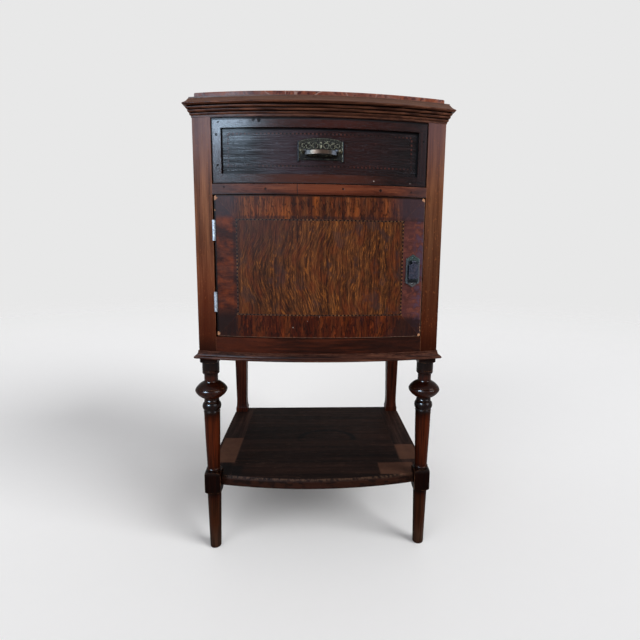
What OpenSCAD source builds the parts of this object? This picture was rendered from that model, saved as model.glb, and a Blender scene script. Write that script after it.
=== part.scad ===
// Bow-fronted bedside cabinet with a marble top, one drawer, one door and an open shelf.
// The front faces -Y, the floor is at z = 0 and the origin is below the middle of the piece.

/* [Carcase] */
// Width over the outer faces of the posts
body_w = 404; // [390:1:430]
// Depth from the front corners of the posts to the back
body_d = 362; // [340:1:385]
// Rise of the bowed front over its whole chord
bow_rise = 26; // [20:1:30]
// Height from the floor to the underside of the carcase
leg_h = 356.5; // [345:0.5:370]
// Height of the rail under the door
bottom_rail_h = 38; // [34:1:46]
// Clear height of the door opening
door_opening_h = 230.5; // [215:0.5:250]
// Thickness of the rail between door and drawer
divider_t = 16; // [14:1:20]
// Clear height of the drawer opening
drawer_opening_h = 100; // [92:1:110]
// Height of the rails under the marble
top_rail_h = 21; // [21:0.5:26]
// Depth of the top rail and of the divider rail, behind the post corners
rail_depth = 62; // [55:1:75]
// Depth of the bottom rail, behind the post corners
bottom_rail_depth = 22; // [21:0.5:25]
// Length of the tenons of the rails
tenon_l = 11; // [8:0.5:13]
// Thickness of the side panels
side_t = 10; // [8:0.5:12]
// How far the side panels lie in from the outer faces of the posts
side_inset = 3; // [2:0.5:5]
// Depth of the grooves that hold the side panels and the back
groove_d = 6; // [4:0.5:7]
// Thickness of the back boards
back_t = 8; // [6:0.5:10]
// Distance of the back boards from the back faces of the posts
back_inset = 2; // [1:0.5:4]
// Number of back boards
back_boards_n = 4; // [3:1:6]
// Thickness of the cupboard floor
floor_t = 12; // [9:0.5:14]
// Height of the strips that carry the cupboard floor
bearer_h = 16; // [12:1:20]
// Width of the strips that carry the cupboard floor
bearer_w = 24; // [20:1:30]

/* [Posts and turned legs] */
// Side of the square posts
post_w = 30; // [29:0.5:33]
// Side of the square stub below the carcase
stub_w = 29.4; // [29:0.1:29.8]
// Height of the square stub
stub_h = 10; // [8:0.5:13]
// Side of the square block at the shelf
block_w = 27.5; // [26:0.5:29]
// How far that block rises above the shelf, with its rounded shoulder
block_up = 12.5; // [10:0.5:16]
// How far the block reaches below the shelf
block_down = 9; // [7:0.5:14]
// Radius of the column below the stub
column_r = 14.4; // [13.5:0.1:14.5]
// Height of the column with its rounded lower edge
column_h = 21; // [18:0.5:24]
// Radius of the neck above the bulb
neck_r = 11.6; // [10.5:0.1:12.5]
// Height of the neck
neck_h = 13.5; // [11:0.5:16]
// Radius of the bulb
bulb_r = 27.2; // [25:0.1:29]
// Height of the bulb
bulb_h = 30; // [28:0.5:33]
// Depth of the scored line round the bulb
bulb_score = 0.9; // [0.5:0.1:1.3]
// Radius of the waist below the bulb
waist_r = 12.3; // [11.5:0.1:13]
// Radius of the ring below the waist
ring_r = 16; // [15:0.1:17]
// Height of the ring
ring_h = 18.5; // [16:0.5:20]
// Radius of the shaft below the ring
shaft_top_r = 13.7; // [13:0.1:14.4]
// Radius of the shaft above the block
shaft_low_r = 10.9; // [10:0.1:11.5]
// Radius of the foot below the block
foot_top_r = 12.2; // [11.5:0.1:13]
// Radius of the foot near the floor
foot_low_r = 9.8; // [9:0.1:11]
// Side of the square back leg at its slimmest, above the shelf
back_leg_w = 23.2; // [22:0.1:25]
// Side of the square back foot at the floor
back_foot_w = 18; // [16:0.5:20]

/* [Mouldings] */
// Projection of the cornice
cornice_p = 12.4; // [11:0.1:14]
// Height of the cornice's nose, between its reeds and the top of the carcase
nose_h = 4.9; // [4.5:0.1:6]
// Radius of the tip of the nose
tip_r = 1.2; // [0.9:0.05:1.5]
// Height of the cornice above the top of the carcase
cornice_lip = 9.5; // [8:0.1:11]
// Radius of the reeds of the cornice
reed_r = 2.1; // [1.9:0.05:2.3]
// Height of the flat below the reeds
cornice_fillet = 2.5; // [2:0.1:4]
// Projection of the cornice's upper flat
cornice_top_p = 3.4; // [2.5:0.1:4.5]
// Projection of the base moulding
base_p = 8.1; // [7:0.1:10]
// Height of the base moulding
base_h = 13; // [12:0.5:15]

/* [Marble] */
// Thickness of the marble slab
marble_t = 18; // [16:0.5:20]
// How far the edge of the marble lies in from the posts
marble_inset = 4; // [3:0.1:6]
// Radius of the rounded upper edge of the marble
marble_round = 2.5; // [1.5:0.1:3.5]
// Gap between the marble and the cornice
marble_gap = 0.3; // [0.2:0.05:0.6]

/* [Shelf] */
// Height of the shelf's top above the floor
shelf_z = 135.5; // [130:0.5:138]
// Thickness of the shelf
shelf_t = 18; // [16:0.5:20]
// Rise of the bowed front edge of the shelf
shelf_rise = 20.5; // [15:0.5:24]
// Distance of the ends of that edge from the post corners
shelf_front = 15.5; // [14:0.5:18]
// Width of the cross-grained clamp at each end of the shelf
clamp_w = 44; // [38:1:50]
// Height of the worn chamfer on the shelf's front edge
shelf_chamfer = 4; // [3:0.5:5]

/* [Drawer] */
// Gap on each side of the drawer front
drawer_side_gap = 2; // [1:0.1:2.5]
// Gap below the drawer front
drawer_low_gap = 1; // [0.6:0.1:1.5]
// Gap above the drawer front
drawer_top_gap = 1.5; // [1:0.1:2]
// Distance of the flat back of the drawer front from the post corners
drawer_front_back = 14; // [13:0.5:16]
// Width of the raised frame on the drawer front
frame_w = 14; // [12:0.5:16]
// Height of the raised frame over the panel
frame_t = 4.3; // [3:0.1:5]
// Thickness of the drawer sides
drawer_side_t = 9; // [8:0.5:11]
// Running gap between the drawer sides and the runners
run_gap = 0.3; // [0.2:0.05:0.5]
// Running gap between the drawer sides and the guides
guide_gap = 1; // [0.6:0.1:1.5]
// Gap between the drawer sides and the kickers above them
kick_gap = 1.7; // [1:0.1:3]
// Gap between the drawer and the back boards
drawer_back_room = 14; // [8:1:60]
// Thickness of the drawer's back
drawer_back_t = 8; // [7:0.5:10]
// Thickness of the drawer's bottom
drawer_bottom_t = 6; // [5:0.5:8]
// Height of the drawer's bottom above the lower edge of the sides
drawer_bottom_up = 7; // [6:0.5:9]
// Depth of the grooves for the drawer's bottom
bottom_groove = 4; // [3:0.5:5]
// Number of dovetails at each corner
tails_n = 4; // [3:1:5]
// Depth of the dovetails in the drawer front
tail_l = 10; // [8:0.5:11]
// Flare of a dovetail on each side over its length
tail_flare = 1.6; // [1:0.1:2]
// Distance of the inlaid line from the raised frame at the sides
drawer_line_side = 10; // [7:0.5:13]
// The same at the top
drawer_line_top = 7.5; // [6:0.5:10]
// The same at the bottom
drawer_line_low = 11.5; // [9:0.5:14]

/* [Door] */
// Gap on the hinge side of the door
door_hinge_gap = 3; // [2.8:0.1:3.4]
// Gap on the other sides of the door
door_gap = 1.5; // [1.2:0.1:2]
// Thickness of the door
door_t = 18; // [16:0.5:20]
// Thickness of the veneers
veneer_t = 1; // [0.8:0.1:1.5]
// Radius of the worn corners of the door
door_corner = 3; // [1:0.5:5]
// Width of the cross-grained border at the sides of the door
band_side_w = 35.5; // [32:0.5:40]
// Width of the cross-grained border at the top and bottom of the door
band_end_w = 37.5; // [32:0.5:42]
// Width of the inlaid lines
line_w = 2.2; // [1.6:0.1:3]
// Depth of the inlaid line on the drawer
line_t = 1; // [0.6:0.1:1.5]
// Section of the stop strip behind the door
stop_w = 12; // [9:0.5:14]
// Thickness of that strip
stop_t = 8; // [6:0.5:10]
// Gap between the door and its stop
stop_gap = 0.3; // [0.2:0.05:0.5]

/* [Hinges and catch] */
// Length of a hinge
hinge_l = 32.5; // [30:0.5:38]
// Radius of the hinge knuckles
knuckle_r = 2.6; // [2.4:0.05:2.7]
// Radius of the hinge pins
hinge_pin_r = 1.2; // [1:0.05:1.4]
// Running clearance of the pins, on the radius
pin_play = 0.05; // [0.03:0.01:0.08]
// Thickness of the hinge leaves
leaf_t = 1.2; // [1:0.05:1.3]
// Width of the hinge leaves behind the knuckles
leaf_w = 16; // [13:0.5:18]
// Height of the lower hinge's middle above the door's lower edge
hinge_low = 57; // [45:1:70]
// Distance of the upper hinge's middle from the door's upper edge
hinge_high = 55; // [45:1:70]
// How far the pin lies in front of the bowed face
hinge_proud = 0.6; // [0.4:0.1:0.8]
// Radius of the ball of the catch
ball_r = 2.6; // [2.4:0.1:2.8]
// Radius of the barrel of the catch
barrel_r = 3.6; // [3.3:0.1:4]
// Length of the barrel of the catch
barrel_l = 12; // [10:0.5:14]
// How far the ball stands out of the door's edge
ball_out = 1.1; // [0.8:0.05:1.15]

/* [Drawer handle] */
// Width of the handle plate
plate_w = 72; // [70:1:78]
// Height of the handle plate at its ends
plate_h = 26; // [25:0.5:30]
// Rise of the plate's arched upper edge
plate_crest = 7; // [6:0.5:9]
// Thickness of the stamped sheet of the plates
plate_t = 1.1; // [0.9:0.1:1.4]
// Height of the relief on the plates
relief_t = 0.9; // [0.6:0.1:1.1]
// Radius of the upright bars at the ends of the plate
bar_r = 1.5; // [1.3:0.1:1.8]
// Radius of the knobs at the ends of those bars
knob_r = 2; // [1.9:0.1:2.4]
// Distance between the bolts of the handle
bolt_span = 58.4; // [57:0.2:60]
// Distance of the pivots in front of the plate
bail_out = 4.2; // [4:0.1:5]
// Reach of the bail in front of its pivots
bail_reach = 9; // [7:0.1:10]
// Height of the bail's strap
strap_h = 7.5; // [6.5:0.1:8.5]
// How far the strap rises above the pivots
strap_up = 0.7; // [0.4:0.1:1.2]
// Thickness of the bail's strap
strap_t = 2.2; // [1.8:0.1:2.5]
// Rise of the arched lower edge of the strap
strap_arch = 1.3; // [0.8:0.1:2]
// Radius of the bail's turned-in ends
bail_end_r = 2.3; // [2:0.1:2.5]
// Radius of the bail's pins
bail_pin_r = 1.2; // [1:0.05:1.3]
// Radius of the eyes that hold the bail
eye_r = 2.8; // [2.6:0.1:3]
// Thickness of those eyes
eye_t = 2.8; // [2.4:0.1:3.2]
// Radius of the bolts of the handle
bolt_r = 1.6; // [1.4:0.1:1.8]
// Width of the square nuts inside the drawer
nut_w = 7; // [6:0.5:8]
// Thickness of those nuts
nut_t = 3; // [2.5:0.1:4]

/* [Door pull] */
// Distance of the pull's middle from the free edge of the door
pull_in = 17.5; // [15:0.5:19]
// Height of the pull's middle above the door's lower edge
pull_up = 110.5; // [100:0.5:125]
// Width of the pull's plate
pull_w = 24; // [22:0.5:26]
// Length of the pull's plate
pull_h = 54; // [52:0.5:60]
// Length of the pointed ends of the plate
pull_point = 7.5; // [6:0.5:10]
// Distance of the drop's pivot from the upper point of the plate
pivot_down = 12; // [11:0.5:13]
// Distance of the drop's pivot in front of the sheet
pivot_out = 3; // [2.8:0.1:3.6]
// Length of the drop below its pivot
drop_l = 28; // [25:0.5:29]
// Width of the drop
drop_w = 16; // [14:0.5:17]
// Thickness of the drop
drop_t = 2.2; // [1.8:0.1:2.6]
// Radius of the eye at the head of the drop
drop_eye_r = 2.2; // [2:0.1:2.4]
// Width of that eye
drop_eye_w = 4.6; // [4:0.1:5.5]
// Thickness of the two ears that hold the drop
ear_t = 1.5; // [1.2:0.1:2]
// Radius of the drop's pivot pin
drop_pin_r = 0.8; // [0.7:0.05:0.9]
// Distance of the fixing pins from the points of the plate
pin_in = 6; // [5:0.5:7]
// Length of the fixing pins
pin_l = 12; // [8:0.5:14]

/* [Hidden] */

// Facets of a full turn for the great bow, for turned work and for small metal
bow_fn = 360;
turn_fn = 96;
metal_fn = 40;

// Levels above the floor
opening_z = leg_h + bottom_rail_h;
divider_z = opening_z + door_opening_h;
drawer_z = divider_z + divider_t;
top_rail_z = drawer_z + drawer_opening_h;
carcase_z = top_rail_z + top_rail_h;
marble_z = carcase_z + marble_t;

// Plan: half widths and the circle of the bowed front
half_w = body_w / 2;
inner_x = half_w - post_w;
panel_x = half_w - side_inset - side_t;
bow_r = (half_w * half_w + bow_rise * bow_rise) / (2 * bow_rise);
bow_cy = bow_r - bow_rise;
back_y = body_d - post_w;
boards_y = body_d - back_inset - back_t;
mid_y = (body_d - bow_rise - cornice_p) / 2;
back_rail_t = 19;
mitre_slope = (bow_r - half_w) / bow_cy;
front_room = 80;
shell_room = 40;

// Legs
leg_axis = half_w - post_w / 2;
stub_z = leg_h - stub_h;
column_z = stub_z - column_h;
neck_z = column_z - neck_h;
bulb_mid = neck_z - bulb_h / 2;
waist_z = neck_z - bulb_h - 3;
ring_mid = waist_z - 2 - ring_h / 2;
shaft_z = waist_z - 4 - ring_h;
block_z = shelf_z - shelf_t - block_down;
block_top = shelf_z + block_up;
foot_round = 2.5;

// Mouldings
cornice_drop = cornice_fillet + 6 * reed_r + nose_h;

// Drawer
drawer_x = inner_x - drawer_side_gap;
front_z0 = drawer_z + drawer_low_gap;
front_z1 = top_rail_z - drawer_top_gap;
side_in_x = drawer_x - drawer_side_t;
side_z0 = drawer_z + run_gap;
drawer_side_h = drawer_opening_h - run_gap - kick_gap;
drawer_l = boards_y - drawer_back_room;
bottom_z = side_z0 + drawer_bottom_up;
field_x = drawer_x - frame_w;
field_z0 = front_z0 + frame_w;
field_z1 = front_z1 - frame_w;
tail_root = 0.62 * drawer_side_h / tails_n;
runner_w = 15;
runner_t = divider_t;
kicker_t = 14;
guide_h = 20;
stop_block_l = 24;
stop_block_w = 10;
stop_block_h = 5;
stop_block_x = 80;

// Door
door_x0 = -inner_x + door_hinge_gap;
door_x1 = inner_x - door_gap;
door_z0 = opening_z + door_gap;
door_z1 = divider_z - door_gap;
line_x0 = door_x0 + band_side_w;
line_x1 = door_x1 - band_side_w;
line_z0 = door_z0 + band_end_w;
line_z1 = door_z1 - band_end_w;

// Hinges
hinge_x = -inner_x + door_hinge_gap / 2;
hinge_y = bow_y(hinge_x, 0) - hinge_proud;
hinge_zs = [door_z0 + hinge_low, door_z1 - hinge_high];
knuckle_l = hinge_l / 3;
knuckle_gap = 0.15;
knuckle_room = 0.3;
screw_r = 1.2;
screw_head_r = 2.3;
screw_l = 9;
screw_off = hinge_l / 2 - 6;

// Handle on the drawer: a flat plate that touches the bowed panel in its middle
handle_z = (front_z0 + front_z1) / 2;
plate_in = -frame_t;
plate_face = bow_y(0, plate_in) - plate_t;
bolt_x = bolt_span / 2;
seat_t = 0.8;
seat_r = eye_r + 0.9;
pivot_z = handle_z + 0.3;
pivot_y = plate_face - bail_out;
bail_w = bolt_x - eye_t / 2 - 0.3;
pattern_k = plate_w / 72;

// Pull on the door
pull_x = door_x1 - pull_in;
pull_z = door_z0 + pull_up;
pull_turn = asin(pull_x / bow_r);
drop_pivot_z = pull_z + pull_h / 2 - pivot_down;
drop_pivot_out = plate_t + pivot_out;
ear_x = drop_eye_w / 2 + 0.2;
rim_w = 1.6;
pin_r = 0.9;
pin_head_r = 1.9;

// y of the bowed face at x, offset outwards by p
function bow_y(x, p) = bow_cy - sqrt((bow_r + p) * (bow_r + p) - x * x);

// Points on an elliptical arc
function arc(c, rx, rz, a0, a1, n) =
    [for (i = [0:n]) let (a = a0 + (a1 - a0) * i / n) [c[0] + rx * cos(a), c[1] + rz * sin(a)]];

// Outline of a rectangle with round corners
function round_rect(x0, x1, z0, z1, r) = concat(
    arc([x1 - r, z0 + r], r, r, -90, 0, 6), arc([x1 - r, z1 - r], r, r, 0, 90, 6),
    arc([x0 + r, z1 - r], r, r, 90, 180, 6), arc([x0 + r, z0 + r], r, r, 180, 270, 6));

module in_place() translate([0, -mid_y, 0]) children();

module box(x0, x1, y0, y1, z0, z1) translate([x0, y0, z0]) cube([x1 - x0, y1 - y0, z1 - z0]);

module both_sides() {
    children();
    mirror([1, 0, 0]) children();
}

// Upright cylinder round the centre of the bow, with its face offset by p
module bow_drum(p, z0, z1) translate([0, bow_cy, z0]) cylinder(r = bow_r + p, h = z1 - z0, $fn = bow_fn);

// Board with a bowed front and a flat back
module bow_board(x0, x1, y1, z0, z1, p = 0) intersection() {
    box(x0, x1, -front_room, y1, z0, z1);
    bow_drum(p, z0, z1);
}

// Sheet bent to the bow, between two offsets
module bow_sheet(x0, x1, z0, z1, p_out, p_in) intersection() {
    box(x0, x1, -front_room, shell_room, z0, z1);
    difference() {
        bow_drum(p_out, z0, z1);
        bow_drum(p_in, z0 - 1, z1 + 1);
    }
}

// Prism of an outline drawn in x and z, from y0 to y1
module xz_prism(pts, y0, y1) translate([0, y1, 0]) rotate([90, 0, 0]) linear_extrude(y1 - y0) polygon(pts);

// Cylinder along x or y
module rod_x(r, x0, x1) translate([x0, 0, 0]) rotate([0, 90, 0])
    cylinder(r = r, h = x1 - x0, $fn = metal_fn);
module rod_y(r, y0, y1) translate([0, y1, 0]) rotate([90, 0, 0])
    cylinder(r = r, h = y1 - y0, $fn = metal_fn);

// Places a piece on the bowed face at the pull, with -Y pointing straight out of it
module on_pull() translate([0, bow_cy, 0]) rotate([0, 0, pull_turn]) translate([0, -bow_r, 0]) children();

// Points on a shallow hollow between two points, d deep
function hollow(a, b, d, n) =
    let (v = b - a, out = [v[1], -v[0]] / norm(v))
    [for (i = [0:n]) let (t = i / n) a + t * v - 4 * d * t * (1 - t) * out];

// Section of the cornice as projection and height above its lower edge
function cornice_profile() =
    let (low = cornice_drop, top = low + cornice_lip, f = cornice_fillet, r = reed_r, in = cornice_top_p)
    concat(
        [[0, 0], [0.9, 0], [0.9, f]],
        arc([1, f + r + 0.1], r, r, -85, 80, 8),
        arc([3.4, f + 3 * r + 0.4], r, r, -80, 80, 8),
        arc([5.8, f + 5 * r + 0.7], r, r, -80, 75, 8),
        [[5.4, f + 6 * r + 1.1], [cornice_p - tip_r - 0.6, f + 6 * r + 1.9]],
        arc([cornice_p - tip_r, low - 1.6], tip_r, tip_r, -70, 50, 6),
        hollow([cornice_p - 0.6, low - 0.3], [in + 0.7, top - 2.2], 0.8, 8),
        [[in, top - 2.2], [in, top], [-marble_inset + marble_gap, top],
         [-marble_inset + marble_gap, low], [0, low]]);

// Section of the base moulding as projection and height above its lower edge
function base_profile() =
    let (lip_r = 2.3, fillet = 1.6, sweep = (base_p - lip_r - fillet) / 2,
        rise = (base_h - 2.8 - 2 * lip_r) / 2)
    concat(
        [[0, 0]],
        arc([base_p - lip_r, lip_r], lip_r, lip_r, -90, 90, 10),
        arc([fillet + sweep + 0.6, 2 * lip_r + 2 * rise], sweep, 2 * rise, 270, 180, 8),
        [[fillet, 2 * lip_r + 2 * rise], [fillet, base_h], [0, base_h]]);

// Moulding bent round the bowed front, mitred at its ends
module front_moulding(profile, z) {
    k = 20;
    intersection() {
        translate([0, bow_cy, z]) rotate_extrude($fn = bow_fn)
            polygon([for (q = profile) [bow_r + q[0], q[1]]]);
        translate([0, 0, z - 1]) linear_extrude(cornice_drop + cornice_lip + base_h) polygon([
            [-half_w + k, k * mitre_slope], [-half_w - k, -k * mitre_slope], [-half_w - k, -front_room],
            [half_w + k, -front_room], [half_w + k, -k * mitre_slope], [half_w - k, k * mitre_slope]]);
    }
}

// Straight moulding on the right side, mitred at the front
module side_moulding(profile, z) {
    k = 20;
    intersection() {
        translate([half_w, body_d, z]) rotate([90, 0, 0])
            linear_extrude(body_d + front_room) polygon(profile);
        translate([0, 0, z - 1]) linear_extrude(cornice_drop + cornice_lip + base_h) polygon([
            [half_w - k, k * mitre_slope], [half_w + k, -k * mitre_slope], [half_w + k, body_d],
            [half_w - k, body_d]]);
    }
}

// One side of the bulb's outline, from t0 to t1 of its half height h, which ends at radius r
function bulb_side(r, z, h, t0, t1, n) =
    [for (i = [0:n]) let (t = t0 + (t1 - t0) * i / n)
        [r + (bulb_r - r) * pow(1 - pow(t, 1.6), 0.8), z + t * h]];

// Turned outline of a front leg between the stub and the block
function leg_outline() = concat(
    [[0, block_top - 20], [shaft_low_r, block_top - 20], [shaft_low_r, block_top + 1]],
    arc([shaft_low_r, block_top + 3.5], 1.6, 2, -80, 80, 6),
    [[shaft_low_r, block_top + 7],
     [shaft_low_r + 0.7 * (shaft_top_r - shaft_low_r), (shaft_z + block_top) / 2 + 12],
     [shaft_top_r, shaft_z], [shaft_top_r + 0.5, shaft_z + 1.5]],
    arc([ring_r - 5.2, ring_mid], 5.2, ring_h / 2 - 1.5, -62, 70, 10),
    [[waist_r + 0.6, waist_z - 1.2], [waist_r, waist_z]],
    bulb_side(waist_r, bulb_mid, -bulb_h / 2, 1, 0, 12),
    bulb_side(neck_r, bulb_mid, bulb_h / 2, 0.08, 0.22, 3),
    [[bulb_r - 1.8 - bulb_score, bulb_mid + 0.27 * bulb_h / 2]],
    bulb_side(neck_r, bulb_mid, bulb_h / 2, 0.32, 0.98, 9),
    [[neck_r + 0.4, neck_z], [neck_r, neck_z + 1], [neck_r, column_z]],
    arc([column_r - 2.6, column_z + 3], 2.6, 3, -75, 0, 6),
    [[column_r, column_z + 5], [column_r - 0.7, column_z + 5.8], [column_r, column_z + 6.6],
     [column_r, stub_z + 2], [0, stub_z + 2]]);

// Turned outline of the round foot
function foot_outline() = concat(
    [[0, 0]], arc([foot_low_r - foot_round, foot_round], foot_round, foot_round, -90, 0, 6),
    [[foot_top_r, block_z - 1], [foot_top_r, block_z + 10], [0, block_z + 10]]);

// Turned outline that rounds the shoulders of the square block
function block_outline() =
    let (r = 0.72 * block_w)
    concat(
        [[0, block_z]], arc([foot_top_r + 0.6, block_z + 6], r - foot_top_r, 6, -90, 0, 6),
        arc([shaft_low_r + 1, block_top - 8], r - shaft_low_r, 8, 0, 90, 8),
        [[0, block_top]]);

// Turned outline that rounds the lower shoulder of the stub
function stub_outline() =
    let (r = 0.72 * stub_w)
    concat([[0, stub_z]], arc([column_r + 0.3, stub_z + 5], r - column_r, 5, -90, 0, 6),
        [[r + 1, leg_h], [0, leg_h]]);

module square_post(w, z0, z1) translate([-w / 2, -w / 2, z0]) cube([w, w, z1 - z0]);

module turned_leg() translate([leg_axis, post_w / 2, 0]) {
    rotate_extrude($fn = turn_fn) polygon(leg_outline());
    rotate_extrude($fn = turn_fn) polygon(foot_outline());
    intersection() {
        square_post(block_w, block_z, block_top);
        rotate_extrude($fn = turn_fn) polygon(block_outline());
    }
    intersection() {
        square_post(stub_w, stub_z, leg_h);
        rotate_extrude($fn = turn_fn) polygon(stub_outline());
    }
}

// Panel in a groove of the posts, and the space that it takes
module side_board() box(panel_x, panel_x + side_t, post_w - groove_d, back_y + groove_d, leg_h, carcase_z);

// Tenons of the rails, which are also the mortises in the posts
tenon_in = 5;
tenon_w = 16;
module tenon(y, w, z0, z1) box(inner_x, inner_x + tenon_l, y, y + w, z0, z1);
module top_rail_tenon() tenon(tenon_in, tenon_w, top_rail_z + 4, carcase_z - 4);
module divider_tenon() tenon(tenon_in, tenon_w, divider_z + 3, drawer_z - 3);
module bottom_tenon() tenon(tenon_in, tenon_w - 2, leg_h + 6, opening_z - 6);
module back_rail_tenon() tenon(boards_y - 15, 11, top_rail_z + 4, carcase_z - 4);

module front_post() difference() {
    union() {
        bow_board(inner_x, half_w, post_w, leg_h, carcase_z);
        turned_leg();
    }
    side_board();
    top_rail_tenon();
    divider_tenon();
    bottom_tenon();
}

// Half outline of a back post seen from the front or the side
module back_post_outline() {
    flare_z = shelf_z + 10;
    a = post_w / 2;
    b = back_leg_w / 2;
    c = back_foot_w / 2;
    d = block_w / 2;
    right = concat(
        [[c - 1, 0], [c, 1.5], [d - 1.2, block_z - 4], [d, block_z + 2], [d, flare_z]],
        arc([d, flare_z + 22], d - b, 22, -90, -180, 6),
        [[a, leg_h], [a, carcase_z]]);
    left = [for (i = [len(right) - 1:-1:0]) [-right[i][0], right[i][1]]];
    polygon(concat(right, left));
}

module back_post() difference() {
    translate([leg_axis, body_d - post_w / 2, 0]) intersection() {
        translate([0, post_w, 0]) rotate([90, 0, 0]) linear_extrude(2 * post_w) back_post_outline();
        translate([-post_w, 0, 0]) rotate([90, 0, 90]) linear_extrude(2 * post_w) back_post_outline();
    }
    side_board();
    back_rail_tenon();
    box(inner_x - 1, inner_x + groove_d, boards_y, boards_y + back_t, leg_h, carcase_z + 1);
}

module marble_top() color("rosybrown") in_place() {
    r = marble_round;
    rim = bow_r - marble_inset;
    w = half_w - marble_inset;
    intersection() {
        translate([0, bow_cy, 0]) rotate_extrude($fn = bow_fn) polygon(concat(
            [[0, carcase_z], [rim, carcase_z]],
            arc([rim - r, marble_z - r], r, r, 0, 90, 5), [[0, marble_z]]));
        xz_prism(concat([[-w, carcase_z], [w, carcase_z]], arc([w - r, marble_z - r], r, r, 0, 90, 5),
            arc([-w + r, marble_z - r], r, r, 90, 180, 5)), -front_room, body_d);
    }
}

module cornice_front() color("saddlebrown") in_place()
    front_moulding(cornice_profile(), carcase_z - cornice_drop);
module cornice_side() side_moulding(cornice_profile(), carcase_z - cornice_drop);
module cornice_right() color("saddlebrown") in_place() cornice_side();
module cornice_left() color("saddlebrown") in_place() mirror([1, 0, 0]) cornice_side();

module base_moulding_front() color("sienna") in_place() front_moulding(base_profile(), leg_h);
module base_moulding_side() side_moulding(base_profile(), leg_h);
module base_moulding_right() color("sienna") in_place() base_moulding_side();
module base_moulding_left() color("sienna") in_place() mirror([1, 0, 0]) base_moulding_side();

module front_post_right() color("brown") in_place() difference() {
    front_post();
    catch_recess();
}
module front_post_left() color("brown") in_place() difference() {
    mirror([1, 0, 0]) front_post();
    hinge_recess(-inner_x - leaf_t);
    post_leaf_screws();
}
module back_post_right() color("brown") in_place() back_post();
module back_post_left() color("brown") in_place() mirror([1, 0, 0]) back_post();

module side_panel_right() color("saddlebrown") in_place() side_board();
module side_panel_left() color("saddlebrown") in_place() mirror([1, 0, 0]) side_board();

module back_boards() color("peru") in_place() {
    seam = 0.4;
    w = 2 * (inner_x + groove_d) / back_boards_n;
    for (i = [0:back_boards_n - 1])
        box(-inner_x - groove_d + i * w + (i > 0 ? seam / 2 : 0),
            -inner_x - groove_d + (i + 1) * w - (i < back_boards_n - 1 ? seam / 2 : 0),
            boards_y, boards_y + back_t, leg_h, carcase_z);
}

module top_rail_front() color("saddlebrown") in_place() {
    bow_board(-inner_x, inner_x, rail_depth, top_rail_z, carcase_z);
    both_sides() top_rail_tenon();
}

module top_rail_back() color("peru") in_place() {
    box(-inner_x, inner_x, boards_y - back_rail_t, boards_y, top_rail_z, carcase_z);
    both_sides() back_rail_tenon();
}

module divider_rail() color("firebrick") in_place() {
    bow_board(-inner_x, inner_x, rail_depth, divider_z, drawer_z);
    both_sides() divider_tenon();
}

module bottom_rail() color("chocolate") in_place() {
    bow_board(-inner_x, inner_x, bottom_rail_depth, leg_h, opening_z);
    both_sides() bottom_tenon();
}

module cupboard_floor() color("peru") in_place() {
    box(-inner_x, inner_x, bottom_rail_depth, boards_y, opening_z - floor_t, opening_z);
    both_sides() box(inner_x, panel_x, post_w, back_y, opening_z - floor_t, opening_z);
}

module floor_bearers() color("peru") in_place() {
    top = opening_z - floor_t;
    both_sides() box(panel_x - bearer_w, panel_x, post_w, back_y, top - bearer_h, top);
    box(-inner_x + 20, inner_x - 20, boards_y - 16, boards_y, top - bearer_h, top);
}

// Strip along the side of the carcase, clear of the posts, from x0 to the panel
module side_strip(x0, y0, y1, z0, z1) {
    box(x0, inner_x, y0, y1, z0, z1);
    box(inner_x, panel_x, post_w, back_y, z0, z1);
}

module drawer_runner() side_strip(inner_x - runner_w, rail_depth, boards_y, drawer_z - runner_t, drawer_z);
module drawer_runner_right() color("peru") in_place() drawer_runner();
module drawer_runner_left() color("peru") in_place() mirror([1, 0, 0]) drawer_runner();

module drawer_guide() box(drawer_x + guide_gap, panel_x, post_w, back_y, drawer_z, drawer_z + guide_h);
module drawer_guide_right() color("peru") in_place() drawer_guide();
module drawer_guide_left() color("peru") in_place() mirror([1, 0, 0]) drawer_guide();

module drawer_kicker() side_strip(side_in_x, rail_depth, boards_y - back_rail_t, top_rail_z,
    top_rail_z + kicker_t);
module drawer_kicker_right() color("peru") in_place() drawer_kicker();
module drawer_kicker_left() color("peru") in_place() mirror([1, 0, 0]) drawer_kicker();

module drawer_stops() color("peru") in_place() both_sides()
    box(stop_block_x, stop_block_x + stop_block_l, drawer_front_back + run_gap,
        drawer_front_back + run_gap + stop_block_w, drawer_z, drawer_z + stop_block_h);

// Shelf: the plan with its bowed front, cut round the four leg blocks
module shelf_plan() {
    span = leg_axis - block_w / 2;
    r = (span * span + shelf_rise * shelf_rise) / (2 * shelf_rise);
    cy = shelf_front - shelf_rise + r;
    corner = post_w / 2 + block_w / 2;
    difference() {
        intersection() {
            box(-half_w, half_w, -front_room, body_d, shelf_z - shelf_t, shelf_z);
            translate([0, cy, 0]) rotate_extrude($fn = bow_fn) polygon([
                [0, shelf_z - shelf_t], [r - 1.5, shelf_z - shelf_t], [r, shelf_z - shelf_t + 1.5],
                [r, shelf_z - shelf_chamfer - 1], [r - 1, shelf_z - shelf_chamfer],
                [r - shelf_chamfer, shelf_z], [0, shelf_z]]);
        }
        both_sides() {
            box(span, half_w + 1, -front_room, corner, 0, carcase_z);
            box(span, half_w + 1, body_d - corner, body_d + 1, 0, carcase_z);
        }
    }
}

module shelf_board() color("saddlebrown") in_place() intersection() {
    shelf_plan();
    box(-half_w + clamp_w, half_w - clamp_w, -front_room, body_d, 0, carcase_z);
}
module shelf_clamp() intersection() {
    shelf_plan();
    box(half_w - clamp_w, half_w, -front_room, body_d, 0, carcase_z);
}
module shelf_clamp_right() color("sienna") in_place() shelf_clamp();
module shelf_clamp_left() color("sienna") in_place() mirror([1, 0, 0]) shelf_clamp();

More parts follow.
